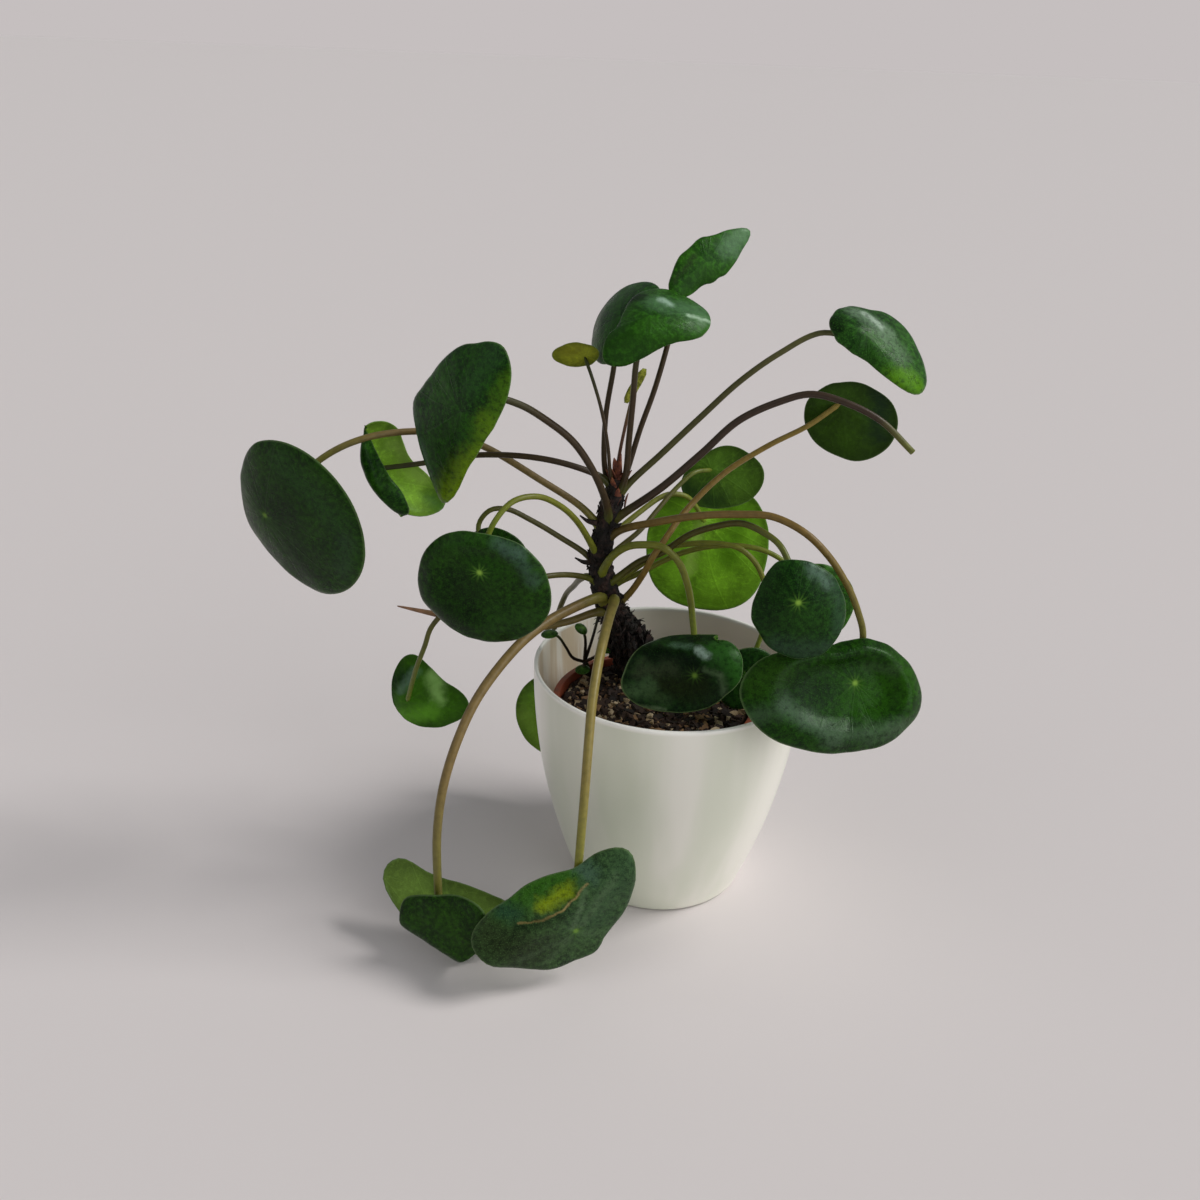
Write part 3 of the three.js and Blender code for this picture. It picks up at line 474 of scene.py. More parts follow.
def stalk_look(name, base, middle, end, turns=0.6):
    """A stalk's colours at the trunk, half way and at the blade, as sRGB bytes.

    turns is the share of its length where the middle colour starts to turn into the last one.
    """
    look = Look(name, Roughness=0.36, Specular_IOR_Level=0.3)
    tone = look.ramp(look.number("along"), (0.0, rgb(*base)), (0.12, rgb(*middle)), (turns, rgb(*middle)),
                     (1.0, rgb(*end)))
    streak = look.between(look.noise(300, 3), 0.35, 0.75, 0, 0.35)
    look.set(Base_Color=look.mix(streak, tone, rgb(*middle, 0.6)))
    look.set(Normal=look.bump(look.noise(1500, 3), 0.06))
    return look.material


VEINS = 11  # main veins from the navel, as the blades' "vein" number counts them
VEIN_RUNGS = 9  # millimetres between the cross veins
VEIN_HALF = 0.75  # half the width of a vein with its soft edges
STAR = rgb(84, 124, 44)
STAR_HEART = rgb(140, 180, 70)
MARGIN = rgb(112, 136, 88)
SHINE = rgb(190, 220, 190)


def paint(look, flat, colour, strokes):
    """The colour with soft wavering strokes on it: (x, y, x, y, half width, colour, strength)."""
    drift = look.vectors("SUBTRACT", look.noise(0.13, 5, 0.65, flat, "Color"), (0.5, 0.5, 0.5))
    for x, y, to_x, to_y, half, tint, strength in strokes:
        waver = look.vectors("SCALE", drift, None, None, min(2.0 * half + 2.5, 14))
        way = Vector((to_x - x, to_y - y, 0.001))
        ahead = look.vectors("SUBTRACT", look.vectors("ADD", flat, waver), (x, y, 0))
        along = look.vectors("DOT_PRODUCT", ahead, way / way.length_squared)
        along = look.node("ShaderNodeClamp", along).outputs[0]
        apart = look.vectors("DISTANCE", ahead, look.vectors("SCALE", way, None, None, along))
        colour = look.mix(look.between(apart, 1.9 * half, 0, 0, strength), colour, rgb(*tint))
    return colour


def leaf_look(name, dark, light, under=(96, 148, 40), patches_and_light=(), under_patches_and_light=(), star=0.6, edge=0.35,
              flecks=1.0):
    """A blade: dark glossy upper face, brighter under face, a small star at the navel and a pale margin.

    The strokes lie on the flat blade, with the navel at 0, 0; they hold the leaf's own colour patches
    together with painted highlights, painted sheen and painted shade.
    """
    look = Look(name, Specular_IOR_Level=0.16, Specular_Tint=SHINE)
    flat = look.vector("flat")
    reach = look.number("reach")
    share = look.number("share")
    cloud = look.noise(0.05, 3, 0.55, flat)
    grain = look.noise(0.35, 5, 0.7, flat)
    speck = look.noise(1.6, 3, 0.6, flat)

    upper = look.layers(
        rgb(*dark), (cloud, 0.32, 0.68, 1, rgb(*light)), (grain, 0.46, 0.66, 0.6, rgb(*light, 1.4)))
    upper = look.layers(
        paint(look, flat, upper, patches_and_light),
        (grain, 0.52, 0.34, 0.55 * flecks, rgb(*dark, 0.5)),
        (speck, 0.54, 0.7, 0.45 * flecks, rgb(*light, 1.7)),
        (speck, 0.46, 0.34, 0.35 * flecks, rgb(*dark, 0.5)))

    between_veins = look.math("FRACT", look.number("vein"))
    aside = look.math("SUBTRACT", 0.5, look.math("ABSOLUTE", look.math("SUBTRACT", between_veins, 0.5)))
    away = look.math("MULTIPLY", look.math("MULTIPLY", aside, reach), 2 * math.pi / VEINS)
    line = look.between(away, VEIN_HALF, 0.1)
    if star:
        near = look.between(reach, 7, 0.6, 0.03 * star, star)
        upper = look.mix(look.math("MULTIPLY", line, near), upper, STAR)
        upper = look.layers(upper, (reach, 2.2, 0.4, 1.4 * star, STAR_HEART))

    slant = look.math("MULTIPLY", aside, 2.2)
    rungs = look.math("FRACT", look.math("ADD", look.math("DIVIDE", reach, VEIN_RUNGS), slant))
    rung = look.between(look.math("ABSOLUTE", look.math("SUBTRACT", rungs, 0.5)), 0.07, 0.01)
    net = look.math("MAXIMUM", line, look.math("MULTIPLY", rung, 0.5))
    lower = look.layers(
        rgb(*under),
        (cloud, 0.35, 0.7, 0.75, rgb(*under, 0.66)),
        (grain, 0.45, 0.7, 0.5, rgb(*under, 1.25)),
        (speck, 0.48, 0.34, 0.3, rgb(*under, 0.6)),
        (share, 0.6, 1.0, 0.5, rgb(*under, 0.5)))
    lower = paint(look, flat, lower, under_patches_and_light)
    lower = look.mix(look.math("MULTIPLY", net, 0.12), lower, rgb(*under, 1.2))

    colour = look.mix(look.between(look.number("face"), -0.2, 0.2), lower, upper)
    look.set(Base_Color=look.layers(colour, (share, 0.98, 1.0, edge, MARGIN)))
    raised = look.math("MULTIPLY", net, look.between(reach, 2, 8, 0, 0.3))
    look.set(Normal=look.bump(look.math("ADD", look.math("MULTIPLY", grain, 0.8), raised), 0.22))
    look.set(Roughness=look.between(look.noise(0.12, 3, 0.6, flat), 0.3, 0.8, 0.24, 0.42))
    return look.material


# ---------------------------------------------------------------- mesh helpers
def piece(name, points, faces, material, replaces=(), numbers=None, corners=None, sharp=None):
    """A smooth mesh of the object from points in millimetres, with numbers stored on its vertices."""
    mesh = bpy.data.meshes.new(name)
    mesh.from_pydata((np.asarray(points, float) * MM).tolist(), [], faces)
    mesh.validate()
    mesh.shade_smooth()
    if sharp:
        mesh.set_sharp_from_angle(angle=math.radians(sharp))
    for label, values in (numbers or {}).items():
        values = np.asarray(values, np.float32)
        kind = "FLOAT_VECTOR" if values.ndim == 2 else "FLOAT"
        stored = mesh.attributes.new(label, kind, "POINT")
        stored.data.foreach_set("vector" if values.ndim == 2 else "value", values.ravel())
    for label, values in (corners or {}).items():
        stored = mesh.attributes.new(label, "FLOAT", "CORNER")
        stored.data.foreach_set("value", np.asarray(values, np.float32))
    mesh.materials.append(material)
    made = bpy.data.objects.new(name, mesh)
    bpy.context.scene.collection.objects.link(made)
    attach(made, "root")
    if replaces:
        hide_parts(*replaces)
    return made


def closed_faces(rows, sides):
    """Faces of a closed body: its points are one end, rows of `sides` points each, and the other end."""
    last = rows * sides + 1
    around = [(side, (side + 1) % sides) for side in range(sides)]
    faces = []
    for first in range(1, last - sides, sides):
        faces += [(first + a, first + b, first + sides + b, first + sides + a) for a, b in around]
    for a, b in around:
        faces.append((0, 1 + b, 1 + a))
        faces.append((last, last - sides + a, last - sides + b))
    return faces


def turned(profile, sides, x=0, y=0):
    """Points and faces of a body turned round an upright axis; the profile starts and ends on it."""
    angles = np.arange(sides) * 2 * math.pi / sides
    points = [(x, y, profile[0][1])]
    for radius, height in profile[1:-1]:
        points += [(x + radius * math.cos(a), y + radius * math.sin(a), height) for a in angles]
    points.append((x, y, profile[-1][1]))
    return points, closed_faces(len(profile) - 2, sides)


def rounded(corner, start, end, radius):
    """Points of an arc-like bend of a profile at a corner between two neighbours."""
    corner, start, end = (Vector(p) for p in (corner, start, end))
    first = corner + (start - corner).normalized() * radius
    second = corner + (end - corner).normalized() * radius
    bend = []
    for step in range(BEND_STEPS + 1):
        t = step / BEND_STEPS
        bend.append(tuple((1 - t) ** 2 * first + 2 * t * (1 - t) * corner + t ** 2 * second))
    return bend


def cubic(start, end, slope, next_slope, share):
    """Where a smooth curve with these ends and slopes is, share being 0 at its start and 1 at its end."""
    cube = 2 * start - 2 * end + slope + next_slope
    square = -3 * start + 3 * end - 2 * slope - next_slope
    return ((cube * share + square) * share + slope) * share + start


def toward(angle, height=0.0):
    """The level way out at an angle, with a rise or fall."""
    return np.array((math.cos(angle), math.sin(angle), height))


def smooth_line(points, step):
    """Even points about `step` apart on a centripetal Catmull-Rom curve through the given points."""
    control = [np.array(p, float) for p in points]
    control.insert(0, 2 * control[0] - control[1])
    control.append(2 * control[-1] - control[-2])
    fine = []
    for a, b, c, d in zip(control, control[1:], control[2:], control[3:]):
        gaps = [max(np.linalg.norm(q - p), 1e-6) ** 0.5 for p, q in ((a, b), (b, c), (c, d))]
        slope = ((b - a) / gaps[0] - (c - a) / (gaps[0] + gaps[1]) + (c - b) / gaps[1]) * gaps[1]
        next_slope = ((c - b) / gaps[1] - (d - b) / (gaps[1] + gaps[2]) + (d - c) / gaps[2]) * gaps[1]
        fine.append(cubic(b, c, slope, next_slope, np.arange(LINE_STEPS)[:, None] / LINE_STEPS))
    fine = np.vstack([*fine, control[-2]])
    lengths = np.concatenate([[0], np.cumsum(np.linalg.norm(np.diff(fine, axis=0), axis=1))])
    count = max(3, round(lengths[-1] / step)) + 1
    even = np.linspace(0, lengths[-1], count)
    return np.stack([np.interp(even, lengths, fine[:, axis]) for axis in range(3)], 1), even


def tube(points, radii, sides):
    """Points and faces of a closed round tube along a line, without twist."""
    ways = np.gradient(points, axis=0)
    ways /= np.linalg.norm(ways, axis=1)[:, None]
    aside = np.cross(ways[0], (0.3, 0.5, 0.8))
    angles = np.arange(sides) * 2 * math.pi / sides
    rows = []
    for middle, way, radius in zip(points, ways, radii):
        aside = aside - way * np.dot(aside, way)
        aside /= np.linalg.norm(aside)
        other = np.cross(way, aside)
        rows.append(middle + radius * (np.outer(np.cos(angles), aside) + np.outer(np.sin(angles), other)))
    return np.vstack([points[:1], *rows, points[-1:]]), closed_faces(len(rows), sides)


class Heap:
    """Points and faces of many small bodies gathered into one piece, each with a tone of its own."""

    def __init__(self):
        self.points = []
        self.faces = []
        self.tones = []

    def add(self, points, faces, tone=0.5):
        first = len(self.points)
        self.points += [tuple(p) for p in points]
        self.faces += [tuple(first + corner for corner in face) for face in faces]
        self.tones += [tone] * len(points) if np.isscalar(tone) else list(tone)

    def piece(self, name, material, slot, replaces=(), sharp=None, numbers=None):
        numbers = {"tone": self.tones, **(numbers or {})}
        return piece(name, self.points, self.faces, material, replaces, numbers, sharp=sharp)


# ---------------------------------------------------------------- pots
def pot_radius(height):
    below = 1 - height / POT_HEIGHT
    return POT_RIM_RADIUS - (POT_RIM_RADIUS - POT_BASE_RADIUS) * below ** 2


def outer_pot():
    heights = np.linspace(POT_EDGE, POT_HEIGHT, POT_ROWS)
    above = 12  # where the wall's slope at the foot is taken
    foot = rounded((POT_BASE_RADIUS + 0.4, 0), (0, 0), (pot_radius(above), above), POT_EDGE)
    outside = [(pot_radius(h), h) for h in heights[1:-1]]
    half = POT_WALL / 2
    middle = POT_RIM_RADIUS - half
    rim = [(middle + half * math.cos(a), POT_HEIGHT - half + half * math.sin(a))
           for a in np.linspace(0, math.pi, 9)]
    inside = [(pot_radius(h) - POT_WALL, h) for h in heights[-2:0:-1]]
    floor = rounded((pot_radius(POT_FLOOR) - POT_WALL, POT_FLOOR), (pot_radius(above) - POT_WALL, above),
                    (0, POT_FLOOR), POT_FLOOR)
    outside = [p for p in outside if p[1] > foot[-1][1] + 1]
    inside = [p for p in inside if p[1] > floor[0][1] + 1]
    profile = [(0, 0), *foot, *outside, *rim, *inside, *floor, (0, POT_FLOOR)]
    points, faces = turned(profile, POT_SIDES)
    outer, lip, inner = len(foot) + len(outside), len(rim), len(inside) + len(floor)
    # where the inner wall's painted bounce light and painted reflection streaks go
    within = np.repeat([0.0] * outer + [0.5] * lip + [1.0] * inner, POT_SIDES)
    # where the rim's painted highlight goes
    rim_highlight = np.repeat([0.0] * outer + [1.0] * lip + [0.0] * inner, POT_SIDES)
    numbers = {"inside": [0, *within, 1], "rim": [0, *rim_highlight, 0]}
    piece("white_outer_pot", points, faces, pot_look(), ("outer_pot",), numbers)


def nursery_radius(height):
    share = (height - NURSERY_FOOT) / (NURSERY_TOP - NURSERY_FOOT)
    return NURSERY_BASE_RADIUS + (NURSERY_RIM_RADIUS - NURSERY_BASE_RADIUS) * share


def nursery_pot():
    lip = NURSERY_TOP - NURSERY_LIP_DEPTH
    out = NURSERY_RIM_RADIUS + NURSERY_LIP
    floor = NURSERY_FOOT + NURSERY_WALL
    wall = nursery_radius(lip)
    inner = (NURSERY_RIM_RADIUS - NURSERY_WALL, NURSERY_TOP)
    floor_corner = (nursery_radius(floor) - NURSERY_WALL, floor)
    profile = [
        (0, NURSERY_FOOT),
        *rounded((NURSERY_BASE_RADIUS, NURSERY_FOOT), (0, NURSERY_FOOT), (wall, lip), 2),
        *rounded((wall, lip), (NURSERY_BASE_RADIUS, NURSERY_FOOT), (out, lip + 1), 1),
        *rounded((out, lip + 0.6), (wall, lip), (out, NURSERY_TOP), 0.8),
        *rounded((out, NURSERY_TOP), (out, lip), inner, 1.2),
        *rounded(inner, (out, NURSERY_TOP), floor_corner, 0.6),
        *rounded(floor_corner, inner, (0, floor), 2),
        (0, floor),
    ]
    points, faces = turned(profile, POT_SIDES, *NURSERY_CENTRE)
    piece("terracotta_nursery_pot", points, faces, nursery_look(), ("nursery_pot",))


# ---------------------------------------------------------------- soil
def rough(point, size, seed=0.0):
    """Smooth noise from -1 to 1 with features about `size` millimetres wide."""
    return noise.noise(Vector(point) / size + Vector((seed, 0.7 * seed, 0.3 * seed)))


SOIL_BUMPS = ((1.5, 16, 0), (0.8, 5, 3), (0.5, 2.2, 7))  # height, width and seed of each kind


def soil_height(x, y):
    return SOIL_TOP + sum(height * rough((x, y, 0), width, seed) for height, width, seed in SOIL_BUMPS)


def soil():
    x, y = NURSERY_CENTRE
    points = [(x, y, SOIL_BASE)]
    rings = [(SOIL_BASE_RADIUS, lambda px, py: SOIL_BASE)]
    rings += [(SOIL_RIM_RADIUS * ring / SOIL_RINGS, soil_height) for ring in range(SOIL_RINGS, 0, -1)]
    for radius, height in rings:
        for side in range(SOIL_SIDES):
            angle = 2 * math.pi * side / SOIL_SIDES
            px, py = x + radius * math.cos(angle), y + radius * math.sin(angle)
            points.append((px, py, height(px, py)))
    points.append((x, y, soil_height(x, y)))
    faces = closed_faces(len(rings), SOIL_SIDES)
    piece("potting_soil", points, faces, soil_look(), ("soil",))


CRUMB_TILT = 0.5  # radians either way
BOX_FACES = ((0, 2, 3, 1), (4, 5, 7, 6), (0, 1, 5, 4), (2, 6, 7, 3), (0, 4, 6, 2), (1, 3, 7, 5))


def crumb(draw, at, sizes, spread=0.35):
    """The uneven box-like form of one bit of bark or grit, turned at random."""
    turn = Matrix.Rotation(draw.uniform(0, 2 * math.pi), 3, "Z")
    for axis in ("X", "Y"):
        turn = turn @ Matrix.Rotation(draw.uniform(-CRUMB_TILT, CRUMB_TILT), 3, axis)
    points = []
    for corner in range(8):
        signs = ((corner & 1) * 2 - 1, (corner & 2) - 1, (corner & 4) / 2 - 1)
        place = [sign * size / 2 * (1 + draw.uniform(-spread, spread)) for sign, size in zip(signs, sizes)]
        points.append(Vector(at) + turn @ Vector(place))
    return points


def scatter(name, seed, count, low, high, flatness, look, sunk):
    """Loose bits lying on the soil."""
    draw = random.Random(seed)
    heap = Heap()
    for _ in range(count):
        size = low + (high - low) * draw.random() ** 2.5
        radius = (SOIL_RIM_RADIUS - 1 - size / 2) * math.sqrt(draw.random())
        angle = draw.uniform(0, 2 * math.pi)
        x = NURSERY_CENTRE[0] + radius * math.cos(angle)
        y = NURSERY_CENTRE[1] + radius * math.sin(angle)
        thick = size * draw.uniform(*flatness)
        wide = size * draw.uniform(0.45, 0.9)
        at = (x, y, soil_height(x, y) + thick * (0.5 - sunk))
        heap.add(crumb(draw, at, (size, wide, thick)), BOX_FACES, draw.random())
    heap.piece(name, look, "soil", sharp=35)


def soil_bits():
    dark = crumb_look("dark_bark_chips", (22, 15, 12), (84, 56, 40), 0.85)
    tan = crumb_look("tan_bark_chips", (96, 68, 44), (186, 148, 104), 0.8)
    pale = crumb_look("pale_grit", (150, 128, 96), (226, 208, 176), 0.75)
    scatter("dark_chips", 11, 1500, 1.2, 5.5, (0.25, 0.6), dark, 0.15)
    scatter("tan_chips", 12, 560, 1.0, 5.4, (0.2, 0.5), tan, 0.2)
    scatter("pale_bits", 13, 260, 0.9, 4.8, (0.5, 0.9), pale, 0.3)


# ---------------------------------------------------------------- trunk
TRUNK_LINE, TRUNK_WAY = smooth_line([at for at, _ in TRUNK], TRUNK_STEP)
TRUNK_RADII = np.interp(
    TRUNK_LINE[:, 2], [at[2] for at, _ in TRUNK], [radius for _, radius in TRUNK])
SCAR_STEP = 5.5
SCAR_HEIGHT = 0.35
FLAKES = 1500
FLAKES_FROM = 112  # just under the soil
ROOT_ENDS = 110

# The bark's relief: its height up the stem, what the crumbly foot adds to it, its width and seed.
BARK_BUMPS = ((0.9, 2.6, 3.6, 5), (0.5, 1.2, 1.5, 9), (0.9, 3.0, 8, 2))
FOOT_DEPTH = 0.6  # how much deeper the foot's relief lies


def foot_share(height, top, fade):
    """1 in the crumbly foot of the trunk, falling to 0 at its top."""
    return min(max((top - height) / fade, 0), 1)


def bark_relief(point, height):
    """How far the bark stands out at a point of the bare stem."""
    foot = foot_share(height, 172, 30)
    bumps = sum((plain + more * foot) * rough(point, width, seed) for plain, more, width, seed in BARK_BUMPS)
    return bumps - FOOT_DEPTH * foot


def trunk():
    angles = np.arange(TRUNK_SIDES) * 2 * math.pi / TRUNK_SIDES
    points, rings = [TRUNK_LINE[0]], [0]
    for middle, radius, way in zip(TRUNK_LINE, TRUNK_RADII, TRUNK_WAY):
        scar = math.cos(2 * math.pi * way / SCAR_STEP)
        for angle in angles:
            out = toward(angle)
            tilted = scar * (0.6 + 0.4 * math.sin(angle + way))
            reach = radius + SCAR_HEIGHT * tilted + bark_relief(middle + radius * out, middle[2])
            points.append(middle + reach * out)
            rings.append(max(tilted, 0) ** 4)
    points.append(TRUNK_LINE[-1] + (0, 0, 1))
    rings.append(0)
    faces = closed_faces(len(TRUNK_LINE), TRUNK_SIDES)
    look = bark_look()
    piece("bark_trunk", points, faces, look, ("trunk",), {"ring": rings})
    return look


def trunk_flakes(look):
    """Bark scales, old roots and crumbs that stand off the trunk, most of them on its foot."""
    draw = random.Random(21)
    heap = Heap()
    for _ in range(FLAKES):
        share = draw.random() ** 1.9
        station = round(share * (len(TRUNK_LINE) - 1))
        middle, radius = TRUNK_LINE[station], TRUNK_RADII[station]
        if middle[2] < FLAKES_FROM:
            continue
        angle = draw.uniform(0, 2 * math.pi)
        foot = foot_share(middle[2], 176, 40)
        at = middle + radius * draw.uniform(0.92, 1.06 + 0.3 * foot) * toward(angle)
        size = draw.uniform(1.2, 2.6 + 4.0 * foot)
        sizes = (size * draw.uniform(0.2, 0.7), size * 0.3, size)
        heap.add(crumb(draw, at, sizes, 0.6), BOX_FACES, draw.random())
    for _ in range(ROOT_ENDS):
        station = round(draw.uniform(0.12, 0.48) * (len(TRUNK_LINE) - 1))
        middle, radius = TRUNK_LINE[station], TRUNK_RADII[station]
        out = toward(draw.uniform(0, 2 * math.pi), draw.uniform(-0.6, 0.5))
        length = draw.uniform(3, 7)
        side = np.array((draw.uniform(-1, 1), draw.uniform(-1, 1), draw.uniform(-1, 0.6)))
        start = middle + 0.95 * radius * out
        tip = start + length * (0.8 * out + 0.5 * side)
        line, _ = smooth_line([start, start + 0.5 * length * out, tip], 0.8)
        heap.add(*tube(line, np.linspace(0.55, 0.15, len(line)), 5), draw.random())
    heap.piece("trunk_flakes", look, "bark", sharp=50, numbers={"ring": [0.0] * len(heap.points)})


# Stubs of lost leaf stalks that stand off the bark: foot, tip.
STUBS = (
    ((-45, 6, 221), (-54, 3, 226)),
    ((-46, 6, 197), (-56, 2, 201)),
    ((-36, 2, 205), (-32, -5, 210)),
    ((-36, 2, 222), (-31, -4, 225)),
    ((-31, 9, 176), (-23, 7, 177)),
    ((-46, 10, 186), (-53, 12, 186)),
)


def stubs(look):
    heap = Heap()
    for foot, tip in STUBS:
        foot, tip = np.array(foot, float), np.array(tip, float)
        bend = 0.5 * (foot + tip) + (0, 0, -1.2)
        line, _ = smooth_line([foot, bend, tip], 0.8)
        heap.add(*tube(line, np.linspace(1.9, 0.45, len(line)), 8), 0.3)
    heap.piece("stalk_stubs", look, "bark", numbers={"ring": [0.0] * len(heap.points)})


def stipule(foot, way, face, length, width, curl):
    """A thin pointed papery scale; its points and faces, and a tone that runs to its tip."""
    foot, way, face = (np.array(v, float) for v in (foot, way, face))
    way /= np.linalg.norm(way)
    aside = np.cross(way, face)
    aside /= np.linalg.norm(aside)
    out = np.cross(aside, way)
    steps, columns, thick = 9, 5, 0.22
    points, tones = [], []
    for back in (1, -1):
        for step in range(steps + 1):
            share = step / steps
            half = width / 2 * math.sin(math.pi * (0.22 + 0.78 * share)) ** 0.8
            for column in range(columns):
                across = 2 * column / (columns - 1) - 1
                lift = curl * share ** 2 * length - 0.35 * half * across ** 2
                points.append(foot + way * share * length + aside * across * max(half, 0.1)
                              + out * (lift + back * thick))
                tones.append(share)
    faces = []
    layer = (steps + 1) * columns
    for step in range(steps):
        for column in range(columns - 1):
            a = step * columns + column
            faces.append((a, a + 1, a + 1 + columns, a + columns))
            faces.append(tuple(layer + c for c in (a, a + columns, a + 1 + columns, a + 1)))
    edge = list(range(columns))
    edge += [step * columns + columns - 1 for step in range(1, steps + 1)]
    edge += [steps * columns + column for column in range(columns - 2, -1, -1)]
    edge += [step * columns for step in range(steps - 1, 0, -1)]
    for a, b in zip(edge, edge[1:] + edge[:1]):
        faces.append((b, a, layer + a, layer + b))
    return points, faces, tones


SCALES = 15
SCALE_TURN = 2.4  # radians from one scale to the next, the angle at which leaves follow each other


def growing_point():
    """The bud with its papery scales, the lowest and widest first."""
    draw = random.Random(31)
    heap = Heap()
    top = np.array(TRUNK[-1][0], float)
    for scale in range(SCALES):
        out = toward(SCALE_TURN * scale)
        drop = 17 - 1.25 * scale
        radius = 4.8 - 0.22 * scale
        lean = draw.uniform(0.1, 0.42)
        way = out * lean + np.array((0, 0, 1))
        foot = top + radius * out - (0, 0, drop)
        length, width, curl = draw.uniform(8, 12), draw.uniform(3.2, 4.8), draw.uniform(-0.05, 0.12)
        heap.add(*stipule(foot, way, out, length, width, curl))
    bud, _ = smooth_line([top - (0, 0, 3), top + (0.3, 0, 5), top + (1.2, -0.5, 14)], 1)
    radii = np.interp(np.linspace(0, 1, len(bud)), [0, 0.4, 1], [2.6, 2.2, 0.4])
    heap.add(*tube(bud, radii, 12), 0.8)
    heap.piece("papery_growing_point", papery_look(), "bud", ("growing_point",), sharp=60)


# ---------------------------------------------------------------- blades
def rim_distance(rim, angle):
    """Distance from navel to edge towards clock angles, on a smooth curve through the rim's values."""
    rim = np.array(rim, float)
    count = len(rim)
    place = np.mod(angle / 360 * count, count)
    first = np.floor(place).astype(int)
    share = place - first
    a, b, c, d = (rim[(first + step) % count] for step in (-1, 0, 1, 2))
    return cubic(b, c, (c - a) / 2, (d - b) / 2, share)


def blade_form(leaf, x, y):
    """Flat points (x to the right, y up, facing the upper face) on the cupped and folded blade."""
    share = np.hypot(x, y) / rim_distance(leaf["rim"], np.degrees(np.arctan2(x, y)))
    ridge = leaf.get("ridge", 0) * np.exp(-(((share - RIDGE_AT) / RIDGE_WIDTH) ** 2))
    points = np.stack([x, y, leaf["cup"] * share ** 2 + ridge], -1)
    for clock, at, radius, bend in leaf.get("folds", ()):
        way = np.array((math.sin(math.radians(clock)), math.cos(math.radians(clock))))
        past = points[..., :2] @ way - at
        sign = math.copysign(1, bend)
        turn = np.clip(past / radius, 0, math.radians(abs(bend)))
        straight = past - turn * radius
        side = points[..., 2] * sign
        along = (radius - side) * np.sin(turn) + straight * np.cos(turn)
        lift = radius - (radius - side) * np.cos(turn) + straight * np.sin(turn)
        moved = past > 0
        points[..., :2] += np.where(moved, along - past, 0)[..., None] * way
        points[..., 2] = np.where(moved, lift * sign, points[..., 2])
    return points


def blade_axes(faces):
    """A blade's own directions: right, up and out of its upper face."""
    azimuth, elevation = (math.radians(a) for a in faces)
    out = Vector((math.sin(azimuth) * math.cos(elevation), -math.cos(azimuth) * math.cos(elevation),
                  math.sin(elevation)))
    up = (Vector((0, 0, 1)) - out * out.z).normalized()
    return np.array((up.cross(out), up, out))


# How far a grown blade's surface leaves its plain form, in millimetres.
VEIN_DEPTH = 0.3
WAVE_HEIGHT, WAVE_WIDTH = 1.1, 17
RIPPLE_HEIGHT, RIPPLE_WIDTH = 0.3, 7
NICKS = 0.012  # how uneven the edge is, as a share of its distance from the navel
EDGE_DROP = 0.8
NAVEL_DIP, NAVEL_DIP_RADIUS = 0.9, 4
FULL_SIZE = 40  # the reach from which a blade's relief is at its full height

# Half the thickness of a blade: plain, less at its edge, more at its navel.
HALF_THICK = 0.5
EDGE_THINNER = 0.22
NAVEL_THICKER, NAVEL_RADIUS = 0.35, 6
RIM_BULGE = 0.28
THIN_UNDER = 12  # smaller blades are thinner


